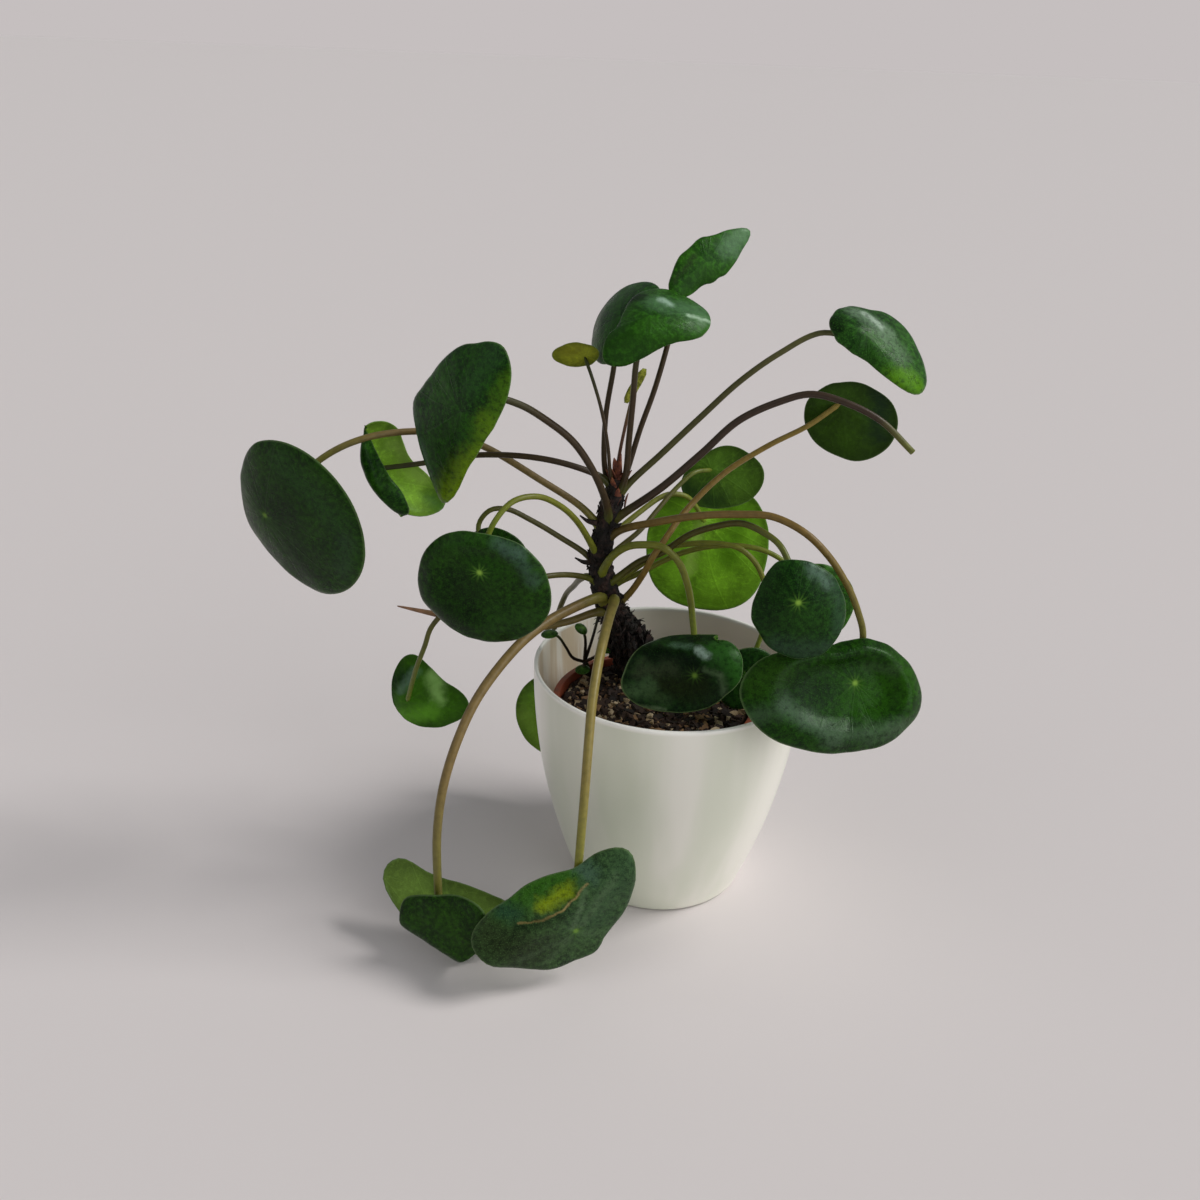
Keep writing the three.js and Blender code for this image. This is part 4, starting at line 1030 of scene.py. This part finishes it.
def blade(leaf, seed, sides=BLADE_SIDES, rings=BLADE_RINGS, puckers=1.0):
    """Points, faces and stored numbers of a fine blade; puckers tells how uneven it is."""
    turn = random.Random(seed).random()
    angles = np.arange(sides) * 360 / sides
    turns = np.radians(angles)
    share = (np.arange(1, rings + 1)[:, None] / rings) ** 0.92
    edge = rim_distance(leaf["rim"], angles)
    nicks = np.array([rough((20 * math.sin(a), 20 * math.cos(a), 0), 6, seed) for a in turns])
    reach = share * edge * (1 + NICKS * nicks)
    x, y = reach * np.sin(turns), reach * np.cos(turns)

    near = 0.4  # the step over which the form's slopes are taken
    middle = blade_form(leaf, x, y)
    across = blade_form(leaf, x + near, y) - blade_form(leaf, x - near, y)
    along = blade_form(leaf, x, y + near) - blade_form(leaf, x, y - near)
    normal = np.cross(across, along)
    normal /= np.linalg.norm(normal, axis=-1)[..., None]

    vein = angles / 360 * VEINS + turn + 0.25 * np.sin(2 * turns + seed)
    vein = vein + 0.35 * (share - 0.4) * np.sin(3 * turns + 2 * seed)
    waves, ripples = (
        np.array([[rough((px, py, 0), width, seed) for px, py in zip(*row)] for row in zip(x, y)])
        for width in (WAVE_WIDTH, RIPPLE_WIDTH))
    size = np.clip(edge / FULL_SIZE, 0.3, 1)
    lift = -VEIN_DEPTH * np.cos(2 * math.pi * vein) * share * (1 - 0.5 * share)
    lift = puckers * size * (lift + WAVE_HEIGHT * waves * share ** 1.5 + RIPPLE_HEIGHT * ripples * share)
    lift -= EDGE_DROP * size * np.clip((share - 0.9) / 0.1, 0, 1) ** 2
    lift -= NAVEL_DIP * puckers * size * np.exp(-((reach / NAVEL_DIP_RADIUS) ** 2))
    middle = middle + lift[..., None] * normal

    thin = min(1, leaf["rim"][0] / THIN_UNDER)
    thicker = NAVEL_THICKER * np.exp(-((reach / NAVEL_RADIUS) ** 2))
    half = (thin * (HALF_THICK - EDGE_THINNER * share ** 3 + thicker))[..., None]
    outward = middle[-1] - middle[-2]
    rim = middle[-1] + RIM_BULGE * outward / np.linalg.norm(outward, axis=1)[:, None]
    navel_normal = normal[0].mean(0)
    centre = blade_form(leaf, np.zeros(1), np.zeros(1))[0]
    centre = centre - NAVEL_DIP * puckers * size.mean() * navel_normal
    centre_half = thin * (HALF_THICK + NAVEL_THICKER) * navel_normal
    upper, lower = middle + half * normal, middle - half * normal
    upper, lower = upper.reshape(-1, 3), lower[::-1].reshape(-1, 3)
    local = np.vstack([[centre + centre_half], upper, rim, lower, [centre - centre_half]])
    points = local @ blade_axes(leaf["faces"]) + np.array(leaf["navel"], float)
    faces = closed_faces(2 * rings + 1, sides)

    def over(values, at_rim, at_centre):
        """Values of the rings, for all points of the upper face, the rim and the under face."""
        rows = np.broadcast_to(values, (rings, sides))
        rim_row = np.broadcast_to(at_rim, (1, sides))
        return np.concatenate([[at_centre], rows.ravel(), rim_row.ravel(), rows[::-1].ravel(), [at_centre]])

    flat_x, flat_y = over(x, x[-1], 0), over(y, y[-1], 0)
    one_face = 1 + rings * sides
    numbers = {
        "flat": np.stack([flat_x, flat_y, np.zeros(len(flat_x))], 1),
        "reach": over(reach, reach[-1], 0),
        "share": over(share, 1, 0),
        "face": np.concatenate([np.ones(one_face), np.zeros(sides), -np.ones(one_face)]),
    }
    return points, faces, numbers, {"vein": vein_corners(faces, over(vein, vein[-1], 0), sides)}


def vein_corners(faces, vein_at, sides):
    """The veins' number at each face corner: it runs on where a ring closes, and is even at a centre."""
    centres = (0, len(vein_at) - 1)
    corners = []
    for face in faces:
        around = [corner for corner in face if corner not in centres]
        columns = [(corner - 1) % sides for corner in around]
        wraps = max(columns) - min(columns) > 1
        values = {corner: vein_at[corner] + (VEINS if wraps and column == 0 else 0)
                  for corner, column in zip(around, columns)}
        mean = sum(values.values()) / len(values)
        corners += [values.get(corner, mean) for corner in face]
    return corners


def leaf_piece(name, form, look, replaces):
    points, faces, numbers, corners = form
    piece(name, points, faces, look, (replaces,), numbers, corners)


# ---------------------------------------------------------------- stalks
IN_BARK = 7  # the length of a stalk that the bark hides
BARK_FLARE, BARK_FLARE_LENGTH = 0.3, 5
BLADE_FLARE, BLADE_FLARE_LENGTH = 0.2, 3
END_NARROWING = 0.45
STRAIGHT_END = 4.5  # how long a stalk runs straight behind a blade that is seen from above


def stalk_form(points, thick, flare=1.0, point=None):
    """Points, faces and the share of the way along for a fine stalk, wider where it leaves the bark.

    It widens a little again at a blade; without one it ends in a point of the given length, or blunt at 0.
    """
    line, way = smooth_line(points, STALK_STEP)
    share = way / way[-1]
    radii = thick[0] + (thick[1] - thick[0]) * share
    from_bark = np.maximum(way - IN_BARK, 0)
    left = way[-1] - way
    radii = radii * (1 + BARK_FLARE * flare * np.exp(-from_bark / BARK_FLARE_LENGTH))
    if point is None:
        radii = radii * (1 + BLADE_FLARE * flare * np.exp(-left / BLADE_FLARE_LENGTH))
        radii[-1] *= END_NARROWING
    elif point:
        radii = radii * (0.2 + 0.8 * np.clip(left / point, 0, 1) ** 0.7)
    corners, faces = tube(line, radii, STALK_SIDES)
    return corners, faces, np.concatenate([[0], np.repeat(share, STALK_SIDES), [1]])


def behind_navel(leaf, *depths):
    """Points behind a blade's navel, the last of them inside the blade."""
    navel, out = np.array(leaf["navel"], float), blade_axes(leaf["faces"])[2]
    return [tuple(navel - depth * out) for depth in depths]


def stalk_ends(name, leaf):
    """A stalk's last points: it ends inside the blade, however deep the navel lies."""
    mean_rim = sum(leaf["rim"]) / len(leaf["rim"])
    deep = 0.3 + NAVEL_DIP * PUCKERS.get(name, 1.0) * min(1, mean_rim / FULL_SIZE)
    depths = (STRAIGHT_END + deep, deep) if name in SEEN_FROM_ABOVE else (deep,)
    return behind_navel(leaf, *depths)


def stalk(name, points, thick, look, point=None):
    corners, faces, along = stalk_form(points, thick, point=point)
    piece(f"{name}_fine", corners, faces, look, (name,), {"along": along})


# ---------------------------------------------------------------- young growth
def young_leaf():
    """The narrow folded leaf close to the growing point."""
    leaf = YOUNG_LEAF
    form = blade(leaf, 77, SMALL_BLADE_SIDES, SMALL_BLADE_RINGS, 0.4)
    look = leaf_look("young_leaf_green", (96, 102, 34), (126, 128, 48), (120, 124, 44), star=0.0)
    leaf_piece("young_leaf_blade", form, look, "young_leaf")
    stem = stalk_look("young_stalk", (96, 66, 52), (104, 74, 58), (120, 112, 52))
    corners, faces, along = stalk_form([*leaf["stalk"], *behind_navel(leaf, 0.4)], leaf["thick"])
    piece("young_leaf_stalk", corners, faces, stem, ("young_leaf",), {"along": along})


def pup():
    """The plantlet: a short foot that parts into shoots, each with a small blade."""
    green = leaf_look("plantlet_green", (34, 62, 20), (52, 86, 28), (74, 112, 34), star=0.1)
    stem = stalk_look("plantlet_stalk", (70, 60, 34), (44, 34, 26), (70, 84, 40))
    stems = Heap()
    alongs = []
    corners, faces, along = stalk_form(PUP_FOOT["stalk"], PUP_FOOT["thick"])
    stems.add(corners, faces)
    alongs.append(along)
    for number, (way, navel, looks_at, radius) in enumerate(PUP_SHOOTS):
        leaf = dict(navel=navel, faces=looks_at, rim=(radius,) * 12, cup=-1)
        way = [PUP_PARTING, *way, *behind_navel(leaf, 0.4)]
        corners, faces, along = stalk_form(way, PUP_SHOOT_THICK, 0.5)
        stems.add(corners, faces)
        alongs.append(along)
        form = blade(leaf, 90 + number, SMALL_BLADE_SIDES, SMALL_BLADE_RINGS, 0.5)
        leaf_piece(f"plantlet_blade_{number + 1}", form, green, "pup")
    stems.piece("plantlet_stalks", stem, "pup_green", ("pup",), numbers={"along": np.concatenate(alongs)})


# ---------------------------------------------------------------- colours of each leaf and its stalk
# Dark and light tones of the upper face, the under face, and strokes as leaf_look takes them. The strokes
# are partly the leaf's own colour (yellow-green patches, tan scars) and partly painted light: whitish and
# bluish-grey strokes are painted highlights and painted sheen, near-black ones painted shade.
GREEN = dict(dark=(14, 34, 8), light=(30, 60, 12))
# painted sheen: a bluish-grey tint standing for the soft reflection on the leaves' glossy faces
PAINTED_SHEEN = (66, 90, 76)
# painted shade: near-black green put where folds, hollows and neighbouring leaves shade a blade
PAINTED_SHADE = (6, 16, 6)
LIME = (146, 164, 10)
LEAF_LOOKS = {
    # leaf_01: the near-black stroke is painted shade, the grey-green one painted sheen
    "leaf_01": dict(GREEN, star=0.25, patches_and_light=(
        (17, 34, 50, 6, 7, (36, 70, 26), 0.6), (52, -6, 46, -24, 5, (42, 66, 44), 0.5),
        (14, 8, 20, -24, 14, PAINTED_SHADE, 0.5), (-16, 24, -22, 10, 6, (34, 62, 30), 0.5))),
    # leaf_02: the yellow-green strokes are its own colour; the bluish-grey one is painted sheen, the
    # near-black one painted shade
    "leaf_02": dict(dark=(14, 40, 12), light=(34, 74, 14), star=0.0, patches_and_light=(
        (-12, -50, 6, -28, 9, (112, 142, 14), 0.9), (8, -30, 18, -4, 7, (104, 140, 16), 0.75),
        (20, 0, 26, 20, 5, (84, 124, 20), 0.6), (-41, -14, -30, -44, 6, (50, 80, 64), 0.75),
        (-6, -12, -14, -34, 9, PAINTED_SHADE, 0.4), (6, 14, 18, 36, 6, (44, 80, 40), 0.5))),
    # leaf_03: its under face is painted bright, as painted light shining through the blade; the pale under
    # stroke is a painted highlight, the darker under stroke painted shade on its curl, the bluish upper
    # stroke painted sheen
    "leaf_03": dict(dark=(18, 44, 18), light=(38, 74, 18), under=(146, 196, 62), star=0.0, patches_and_light=(
        (-14, 22, -14, -6, 6, (40, 70, 54), 0.6), (-15, -12, -20, -30, 6, (44, 80, 30), 0.6)), under_patches_and_light=(
        (-26, 4, -30, -14, 7, (176, 214, 104), 0.5), (-31, -30, -32, -40, 5, (60, 100, 40), 0.8))),
    # leaf_04: the pale strokes at the upper right are painted highlights, the near-black one painted shade
    "leaf_04": dict(GREEN, star=0.7, patches_and_light=(
        (8, 18, 20, 11, 3.5, PAINTED_SHEEN, 0.9), (20, 11, 29, -2, 3, PAINTED_SHEEN, 0.6),
        (-14, 14, 6, 19, 4, (42, 80, 26), 0.5), (-4, -6, -16, -26, 10, PAINTED_SHADE, 0.5),
        (10, -26, 24, -20, 7, (40, 72, 26), 0.5), (0, 3, 14, 4, 6, (34, 76, 10), 0.6))),
    "leaf_05": dict(GREEN),
    # leaf_06: on its under face the pale strokes are painted highlights, the dark one painted shade on its
    # hollow side
    "leaf_06": dict(dark=(24, 54, 14), light=(48, 88, 16), under=(58, 104, 18), under_patches_and_light=(
        (-14, 16, -18, 4, 4, (132, 176, 96), 0.8), (-14, -6, 8, -12, 5, (96, 156, 40), 0.7),
        (2, 14, 20, 2, 6, (14, 40, 14), 0.9), (-4, 18, 4, 6, 2.5, (110, 140, 120), 0.5))),
    "leaf_07": dict(dark=(16, 38, 8), light=(34, 64, 12), under=(112, 142, 62), star=0.0),
    # leaf_08: the tan lines are its scar and the lime patch its own colour; the bluish-grey strokes are
    # painted sheen, the near-black one painted shade along the crease
    "leaf_08": dict(dark=(30, 48, 28), light=(54, 78, 44), star=0.3, patches_and_light=(
        (-46, 2, -26, -8, 14, (34, 38, 20), 0.7), (10, 8, 26, 40, 12, (60, 88, 58), 0.6),
        (-36, 22, -6, 36, 10, (50, 98, 18), 0.8), (-18, 18, -5, 26, 3.8, LIME, 0.65),
        (-40, 17, -34, 14, 5, (36, 66, 50), 0.8), (2, 38, 6, 34, 5, (72, 98, 82), 0.8),
        (-31, 9, -18, 10, 0.55, (150, 130, 80), 0.8), (-18, 10, -7, 16, 0.55, (150, 128, 80), 0.8),
        (-7, 16, 5, 29, 0.6, (156, 136, 88), 0.85), (-30, 7, -8, 11, 2.5, PAINTED_SHADE, 0.5),
        (-2, 3, 4, 26, 1.6, (88, 112, 80), 0.6),
        (2, 2, 20, 34, 2.0, (84, 108, 76), 0.5), (-3, -3, -30, -13, 2.0, (66, 84, 58), 0.5),
        (-3, -4, -16, -20, 2.0, (70, 90, 62), 0.5), (3, -2, 20, -6, 2.0, (74, 98, 66), 0.5))),
    "leaf_09": dict(dark=(24, 54, 14), light=(48, 88, 16), under=(104, 146, 40), under_patches_and_light=(
        (-6, 20, -16, -4, 8, (44, 66, 48), 0.8), (20, -8, 6, -26, 8, (130, 168, 60), 0.6))),
    # leaf_10: the pale strokes are painted highlights along its crest, the near-black one painted shade
    "leaf_10": dict(dark=(22, 54, 12), light=(42, 84, 20), star=0.0, flecks=0.35, patches_and_light=(
        (4, 10, 28, 5, 6, (84, 122, 84), 0.7), (20, 3, 33, 1.5, 1.1, (170, 200, 170), 0.8),
        (7, 12, 11, 9, 2.0, (170, 200, 180), 0.7), (-9, 17, -2, 16, 3.5, PAINTED_SHADE, 0.8),
        (-20, -6, -6, -20, 7, (34, 72, 16), 0.6))),
    "leaf_11": dict(dark=(18, 46, 14), light=(38, 78, 22), star=0.0, flecks=0.35),
    # leaf_12: the pale stroke is a painted highlight, the near-black one painted shade
    "leaf_12": dict(dark=(24, 58, 14), light=(46, 90, 22), star=0.0, flecks=0.35, patches_and_light=(
        (14, 8, 25, 15, 6, (104, 140, 104), 0.7), (-18, -9, -6, 3, 1.6, (46, 48, 36), 0.5),
        (-8, -9, 8, -9, 5, PAINTED_SHADE, 0.5))),
    "leaf_13": dict(dark=(96, 118, 22), light=(128, 146, 34), under=(150, 158, 44), star=0.0, under_patches_and_light=(
        (-14, 2, -4, -2, 4, (78, 92, 20), 0.6), (4, 4, 12, 2, 3, (92, 76, 30), 0.4))),
    # leaf_14: the whitish and pale strokes are painted highlights, the near-black one painted shade; the
    # lime-green ones are its own colour
    "leaf_14": dict(dark=(20, 48, 18), light=(44, 84, 28), star=0.0, patches_and_light=(
        (2, 13, 14, -2, 5, (112, 136, 112), 0.8), (14, -2, 18, -14, 5, (96, 124, 92), 0.6),
        (6, 12, 12, 2, 1.8, (176, 196, 178), 0.8), (12, -26, -4, -12, 4, (52, 96, 22), 0.6),
        (-14, 11, -12, 6, 4, PAINTED_SHADE, 0.9), (-6, -4, -2, -14, 5, (24, 56, 16), 0.6),
        (12, -26, 22, -30, 6, (88, 140, 18), 0.9))),
    # leaf_15: the dark under stroke is painted shade from its fold
    "leaf_15": dict(dark=(18, 44, 14), light=(38, 76, 18), under=(54, 84, 22), under_patches_and_light=(
        (-20, 16, -22, -16, 6, (26, 44, 30), 0.8),)),
    # leaf_16: its under face is painted bright, as painted light shining through the blade; the dark stroke
    # across its top is painted shade where leaf_17 shades it, the pale upright one a painted highlight
    "leaf_16": dict(dark=(22, 52, 14), light=(46, 88, 18), under=(128, 186, 44), under_patches_and_light=(
        (-34, 30, 30, 26, 12, (30, 58, 26), 0.85), (2, 0, 8, -32, 3.5, (156, 196, 84), 0.8),
        (-22, 6, -16, -22, 9, (78, 128, 18), 0.7), (20, 4, 24, -20, 8, (84, 132, 20), 0.6))),
    # leaf_17: the dark under stroke is painted shade from its fold
    "leaf_17": dict(dark=(18, 44, 14), light=(38, 76, 18), under=(84, 122, 38), under_patches_and_light=(
        (16, -12, -4, -18, 7, (34, 58, 26), 0.8),)),
    # leaf_18: the pale strokes are painted highlight and sheen, the near-black one painted shade
    "leaf_18": dict(dark=(14, 40, 12), light=(30, 62, 18), star=0.7, patches_and_light=(
        (6, 17, 14, 10, 3.5, (86, 110, 96), 0.9), (20, 8, 23, -14, 4, (50, 78, 56), 0.6),
        (-8, -26, 16, -26, 6, (50, 72, 56), 0.6), (-12, 8, -14, -12, 7, PAINTED_SHADE, 0.4))),
    "leaf_19": dict(dark=(22, 52, 14), light=(46, 88, 18), under=(92, 124, 30)),
    # leaf_20: the grey-green strokes are painted sheen along its ridge, the near-black one painted shade in
    # its hollow
    "leaf_20": dict(dark=(14, 40, 8), light=(30, 64, 12), star=0.5, patches_and_light=(
        (-58, -14, -40, -8, 5, (64, 86, 62), 0.65), (-40, -9, -16, -26, 5, (74, 96, 76), 0.7),
        (-16, -26, 24, -24, 5, (74, 96, 72), 0.65), (6, -4, 26, 4, 10, (40, 84, 8), 0.7),
        (-2, -10, 8, -14, 8, (36, 80, 8), 0.6), (-40, 4, -24, 0, 10, PAINTED_SHADE, 0.6),
        (-56, 4, -44, 12, 8, (38, 66, 14), 0.7), (6, 8, 22, 6, 2.5, (56, 82, 46), 0.6))),
    # leaf_21: the near-black stroke is painted shade in the hollow under its rolled-back rim; the whitish
    # and grey-green strokes are painted highlights on the crest and the front
    "leaf_21": dict(dark=(12, 28, 12), light=(24, 46, 18), edge=0.7, star=0.35, patches_and_light=(
        (-16, 15, 8, 12, 4, (30, 66, 20), 0.7), (-26, 8, 2, 7, 5, PAINTED_SHADE, 0.95),
        (-30, -1, -12, 2, 4, (62, 72, 50), 0.6), (-16, -7, 4, -6, 7, (32, 34, 14), 0.7),
        (12, 14, 24, 4, 8, (54, 106, 40), 0.9), (0, 14, 5, 11, 2.0, (160, 184, 172), 0.8),
        (-14, 16, -6, 16, 2.4, (84, 112, 92), 0.6), (-36, -14, -24, -8, 4, (74, 100, 64), 0.7),
        (-34, -19, -14, -21, 1.2, (110, 132, 96), 0.6), (-24, -12, -14, -16, 3, (56, 78, 46), 0.6),
        (5, 4, 14, 2, 1.5, (96, 120, 84), 0.6), (14, 2, 17, -8, 1.5, (96, 120, 84), 0.6))),
    "leaf_22": dict(dark=(14, 38, 14), light=(30, 60, 20)),
}

PURPLE = ((88, 102, 36), (62, 48, 28), (58, 68, 28))
OLIVE = ((106, 118, 38), (84, 80, 34), (108, 122, 42))
TAN = ((134, 140, 50), (124, 104, 62), (104, 114, 38))
GREENISH = ((118, 132, 40), (114, 118, 40), (130, 152, 48))
KHAKI = ((144, 148, 56), (138, 124, 66), (124, 138, 34))
STALK_LOOKS = {
    "leaf_01": TAN, "leaf_02": PURPLE, "leaf_03": PURPLE, "leaf_04": GREENISH, "leaf_05": OLIVE,
    "leaf_06": OLIVE, "leaf_07": TAN, "leaf_08": KHAKI, "leaf_09": OLIVE, "leaf_10": PURPLE,
    "leaf_11": PURPLE, "leaf_12": PURPLE, "leaf_13": PURPLE,
    "leaf_14": ((100, 108, 42), (84, 82, 44), (94, 94, 54)),
    "leaf_15": ((110, 110, 48), (142, 116, 58), (150, 130, 60)),
    "leaf_16": GREENISH, "leaf_17": OLIVE, "leaf_18": OLIVE, "leaf_19": GREENISH,
    "leaf_20": ((64, 62, 34), (126, 102, 52), (104, 114, 38)),
    "leaf_21": GREENISH, "leaf_22": GREENISH,
    "stalk_dry": ((122, 130, 52), (112, 98, 54), (150, 108, 84)),
    "stalk_cut": ((106, 108, 48), (62, 48, 36), (112, 118, 50), 0.87),
}

# ---------------------------------------------------------------- studio
CAMERA_AT = (-0.0411, -0.6187, 0.4611)
CAMERA_DOWN = 24.70  # degrees below level
CAMERA_ROLL = 2.25
LENS = 36
SENSOR = 36
BACKDROP = rgb(197, 191, 191)
FLOOR_COLOUR = rgb(225, 218, 219)
FLOOR_BELOW = 0.0003  # a hair under the pot's foot
FLOOR_HALF = 60
ROOM_LIGHT = (0.93, 0.97, 1.0, 1)
ROOM_STRENGTH = 0.2
# Far soft lights: name, where from, strength, softness in degrees, colour.
LIGHTS = (
    ("key", (0.85, 0.03, 0.9), 1.75, 22, (1.0, 0.985, 0.95)),
    ("side", (0.8, -0.62, 0.35), 1.0, 50, (1.0, 1.0, 0.98)),
    ("fill", (-0.9, -0.3, 0.6), 0.36, 60, (1.0, 0.99, 0.94)),
)


def camera():
    data = bpy.data.cameras.new("camera")
    data.lens = LENS
    data.sensor_width = SENSOR
    data.clip_end = 200
    made = bpy.data.objects.new("camera", data)
    bpy.context.scene.collection.objects.link(made)
    down = Matrix.Rotation(math.radians(90 - CAMERA_DOWN), 4, "X")
    roll = Matrix.Rotation(math.radians(CAMERA_ROLL), 4, "Z")
    made.matrix_world = Matrix.Translation(CAMERA_AT) @ down @ roll
    bpy.context.scene.camera = made


def aim(made, way_from):
    made.rotation_mode = "QUATERNION"
    made.rotation_quaternion = Vector(way_from).to_track_quat("Z", "Y")


def studio():
    """A plain room: one tone behind everything, soft light from all round, and a pale floor."""
    scene = bpy.context.scene
    scene.view_settings.view_transform = "Standard"
    world = bpy.data.worlds.new("studio")
    world.use_nodes = True
    tree = world.node_tree
    seen = tree.nodes["Background"]
    seen.inputs["Color"].default_value = BACKDROP
    room = tree.nodes.new("ShaderNodeBackground")
    room.inputs["Color"].default_value = ROOM_LIGHT
    room.inputs["Strength"].default_value = ROOM_STRENGTH
    both = tree.nodes.new("ShaderNodeMixShader")
    tree.links.new(tree.nodes.new("ShaderNodeLightPath").outputs["Is Camera Ray"], both.inputs[0])
    tree.links.new(room.outputs[0], both.inputs[1])
    tree.links.new(seen.outputs[0], both.inputs[2])
    tree.links.new(both.outputs[0], tree.nodes["World Output"].inputs["Surface"])
    scene.world = world

    for name, way_from, strength, softness, colour in LIGHTS:
        light = bpy.data.lights.new(name, "SUN")
        light.energy = strength
        light.angle = math.radians(softness)
        light.color = colour
        made = bpy.data.objects.new(name, light)
        aim(made, way_from)
        scene.collection.objects.link(made)

    corners = [(x * FLOOR_HALF, y * FLOOR_HALF, 0) for x, y in ((-1, -1), (1, -1), (1, 1), (-1, 1))]
    mesh = bpy.data.meshes.new("floor")
    mesh.from_pydata(corners, [], [(0, 1, 2, 3)])
    floor = bpy.data.objects.new("floor", mesh)
    floor.location = (0, 0, -FLOOR_BELOW)
    mesh.materials.append(Look("pale_floor", Base_Color=FLOOR_COLOUR, Roughness=0.9).material)
    scene.collection.objects.link(floor)


# ---------------------------------------------------------------- the plant in its pot
camera()
studio()
outer_pot()
nursery_pot()
soil()
soil_bits()
bark = trunk()
trunk_flakes(bark)
stubs(bark)
growing_point()
for number, (name, leaf) in enumerate(LEAVES.items(), 1):
    form = blade(leaf, number, puckers=PUCKERS.get(name, 1.0))
    look = leaf_look(f"{name}_green", **LEAF_LOOKS[name])
    leaf_piece(f"{name}_fine_blade", form, look, f"{name}_blade")
    look = stalk_look(f"{name}_stalk_colours", *STALK_LOOKS[name])
    stalk(f"{name}_stalk", [*leaf["stalk"], *stalk_ends(name, leaf)], leaf["thick"], look)
young_leaf()
pup()
for name, bare in BARE_STALKS.items():
    look = stalk_look(f"{name}_colours", *STALK_LOOKS[name])
    stalk(name, bare["stalk"], bare["thick"], look, bare.get("point", 0))
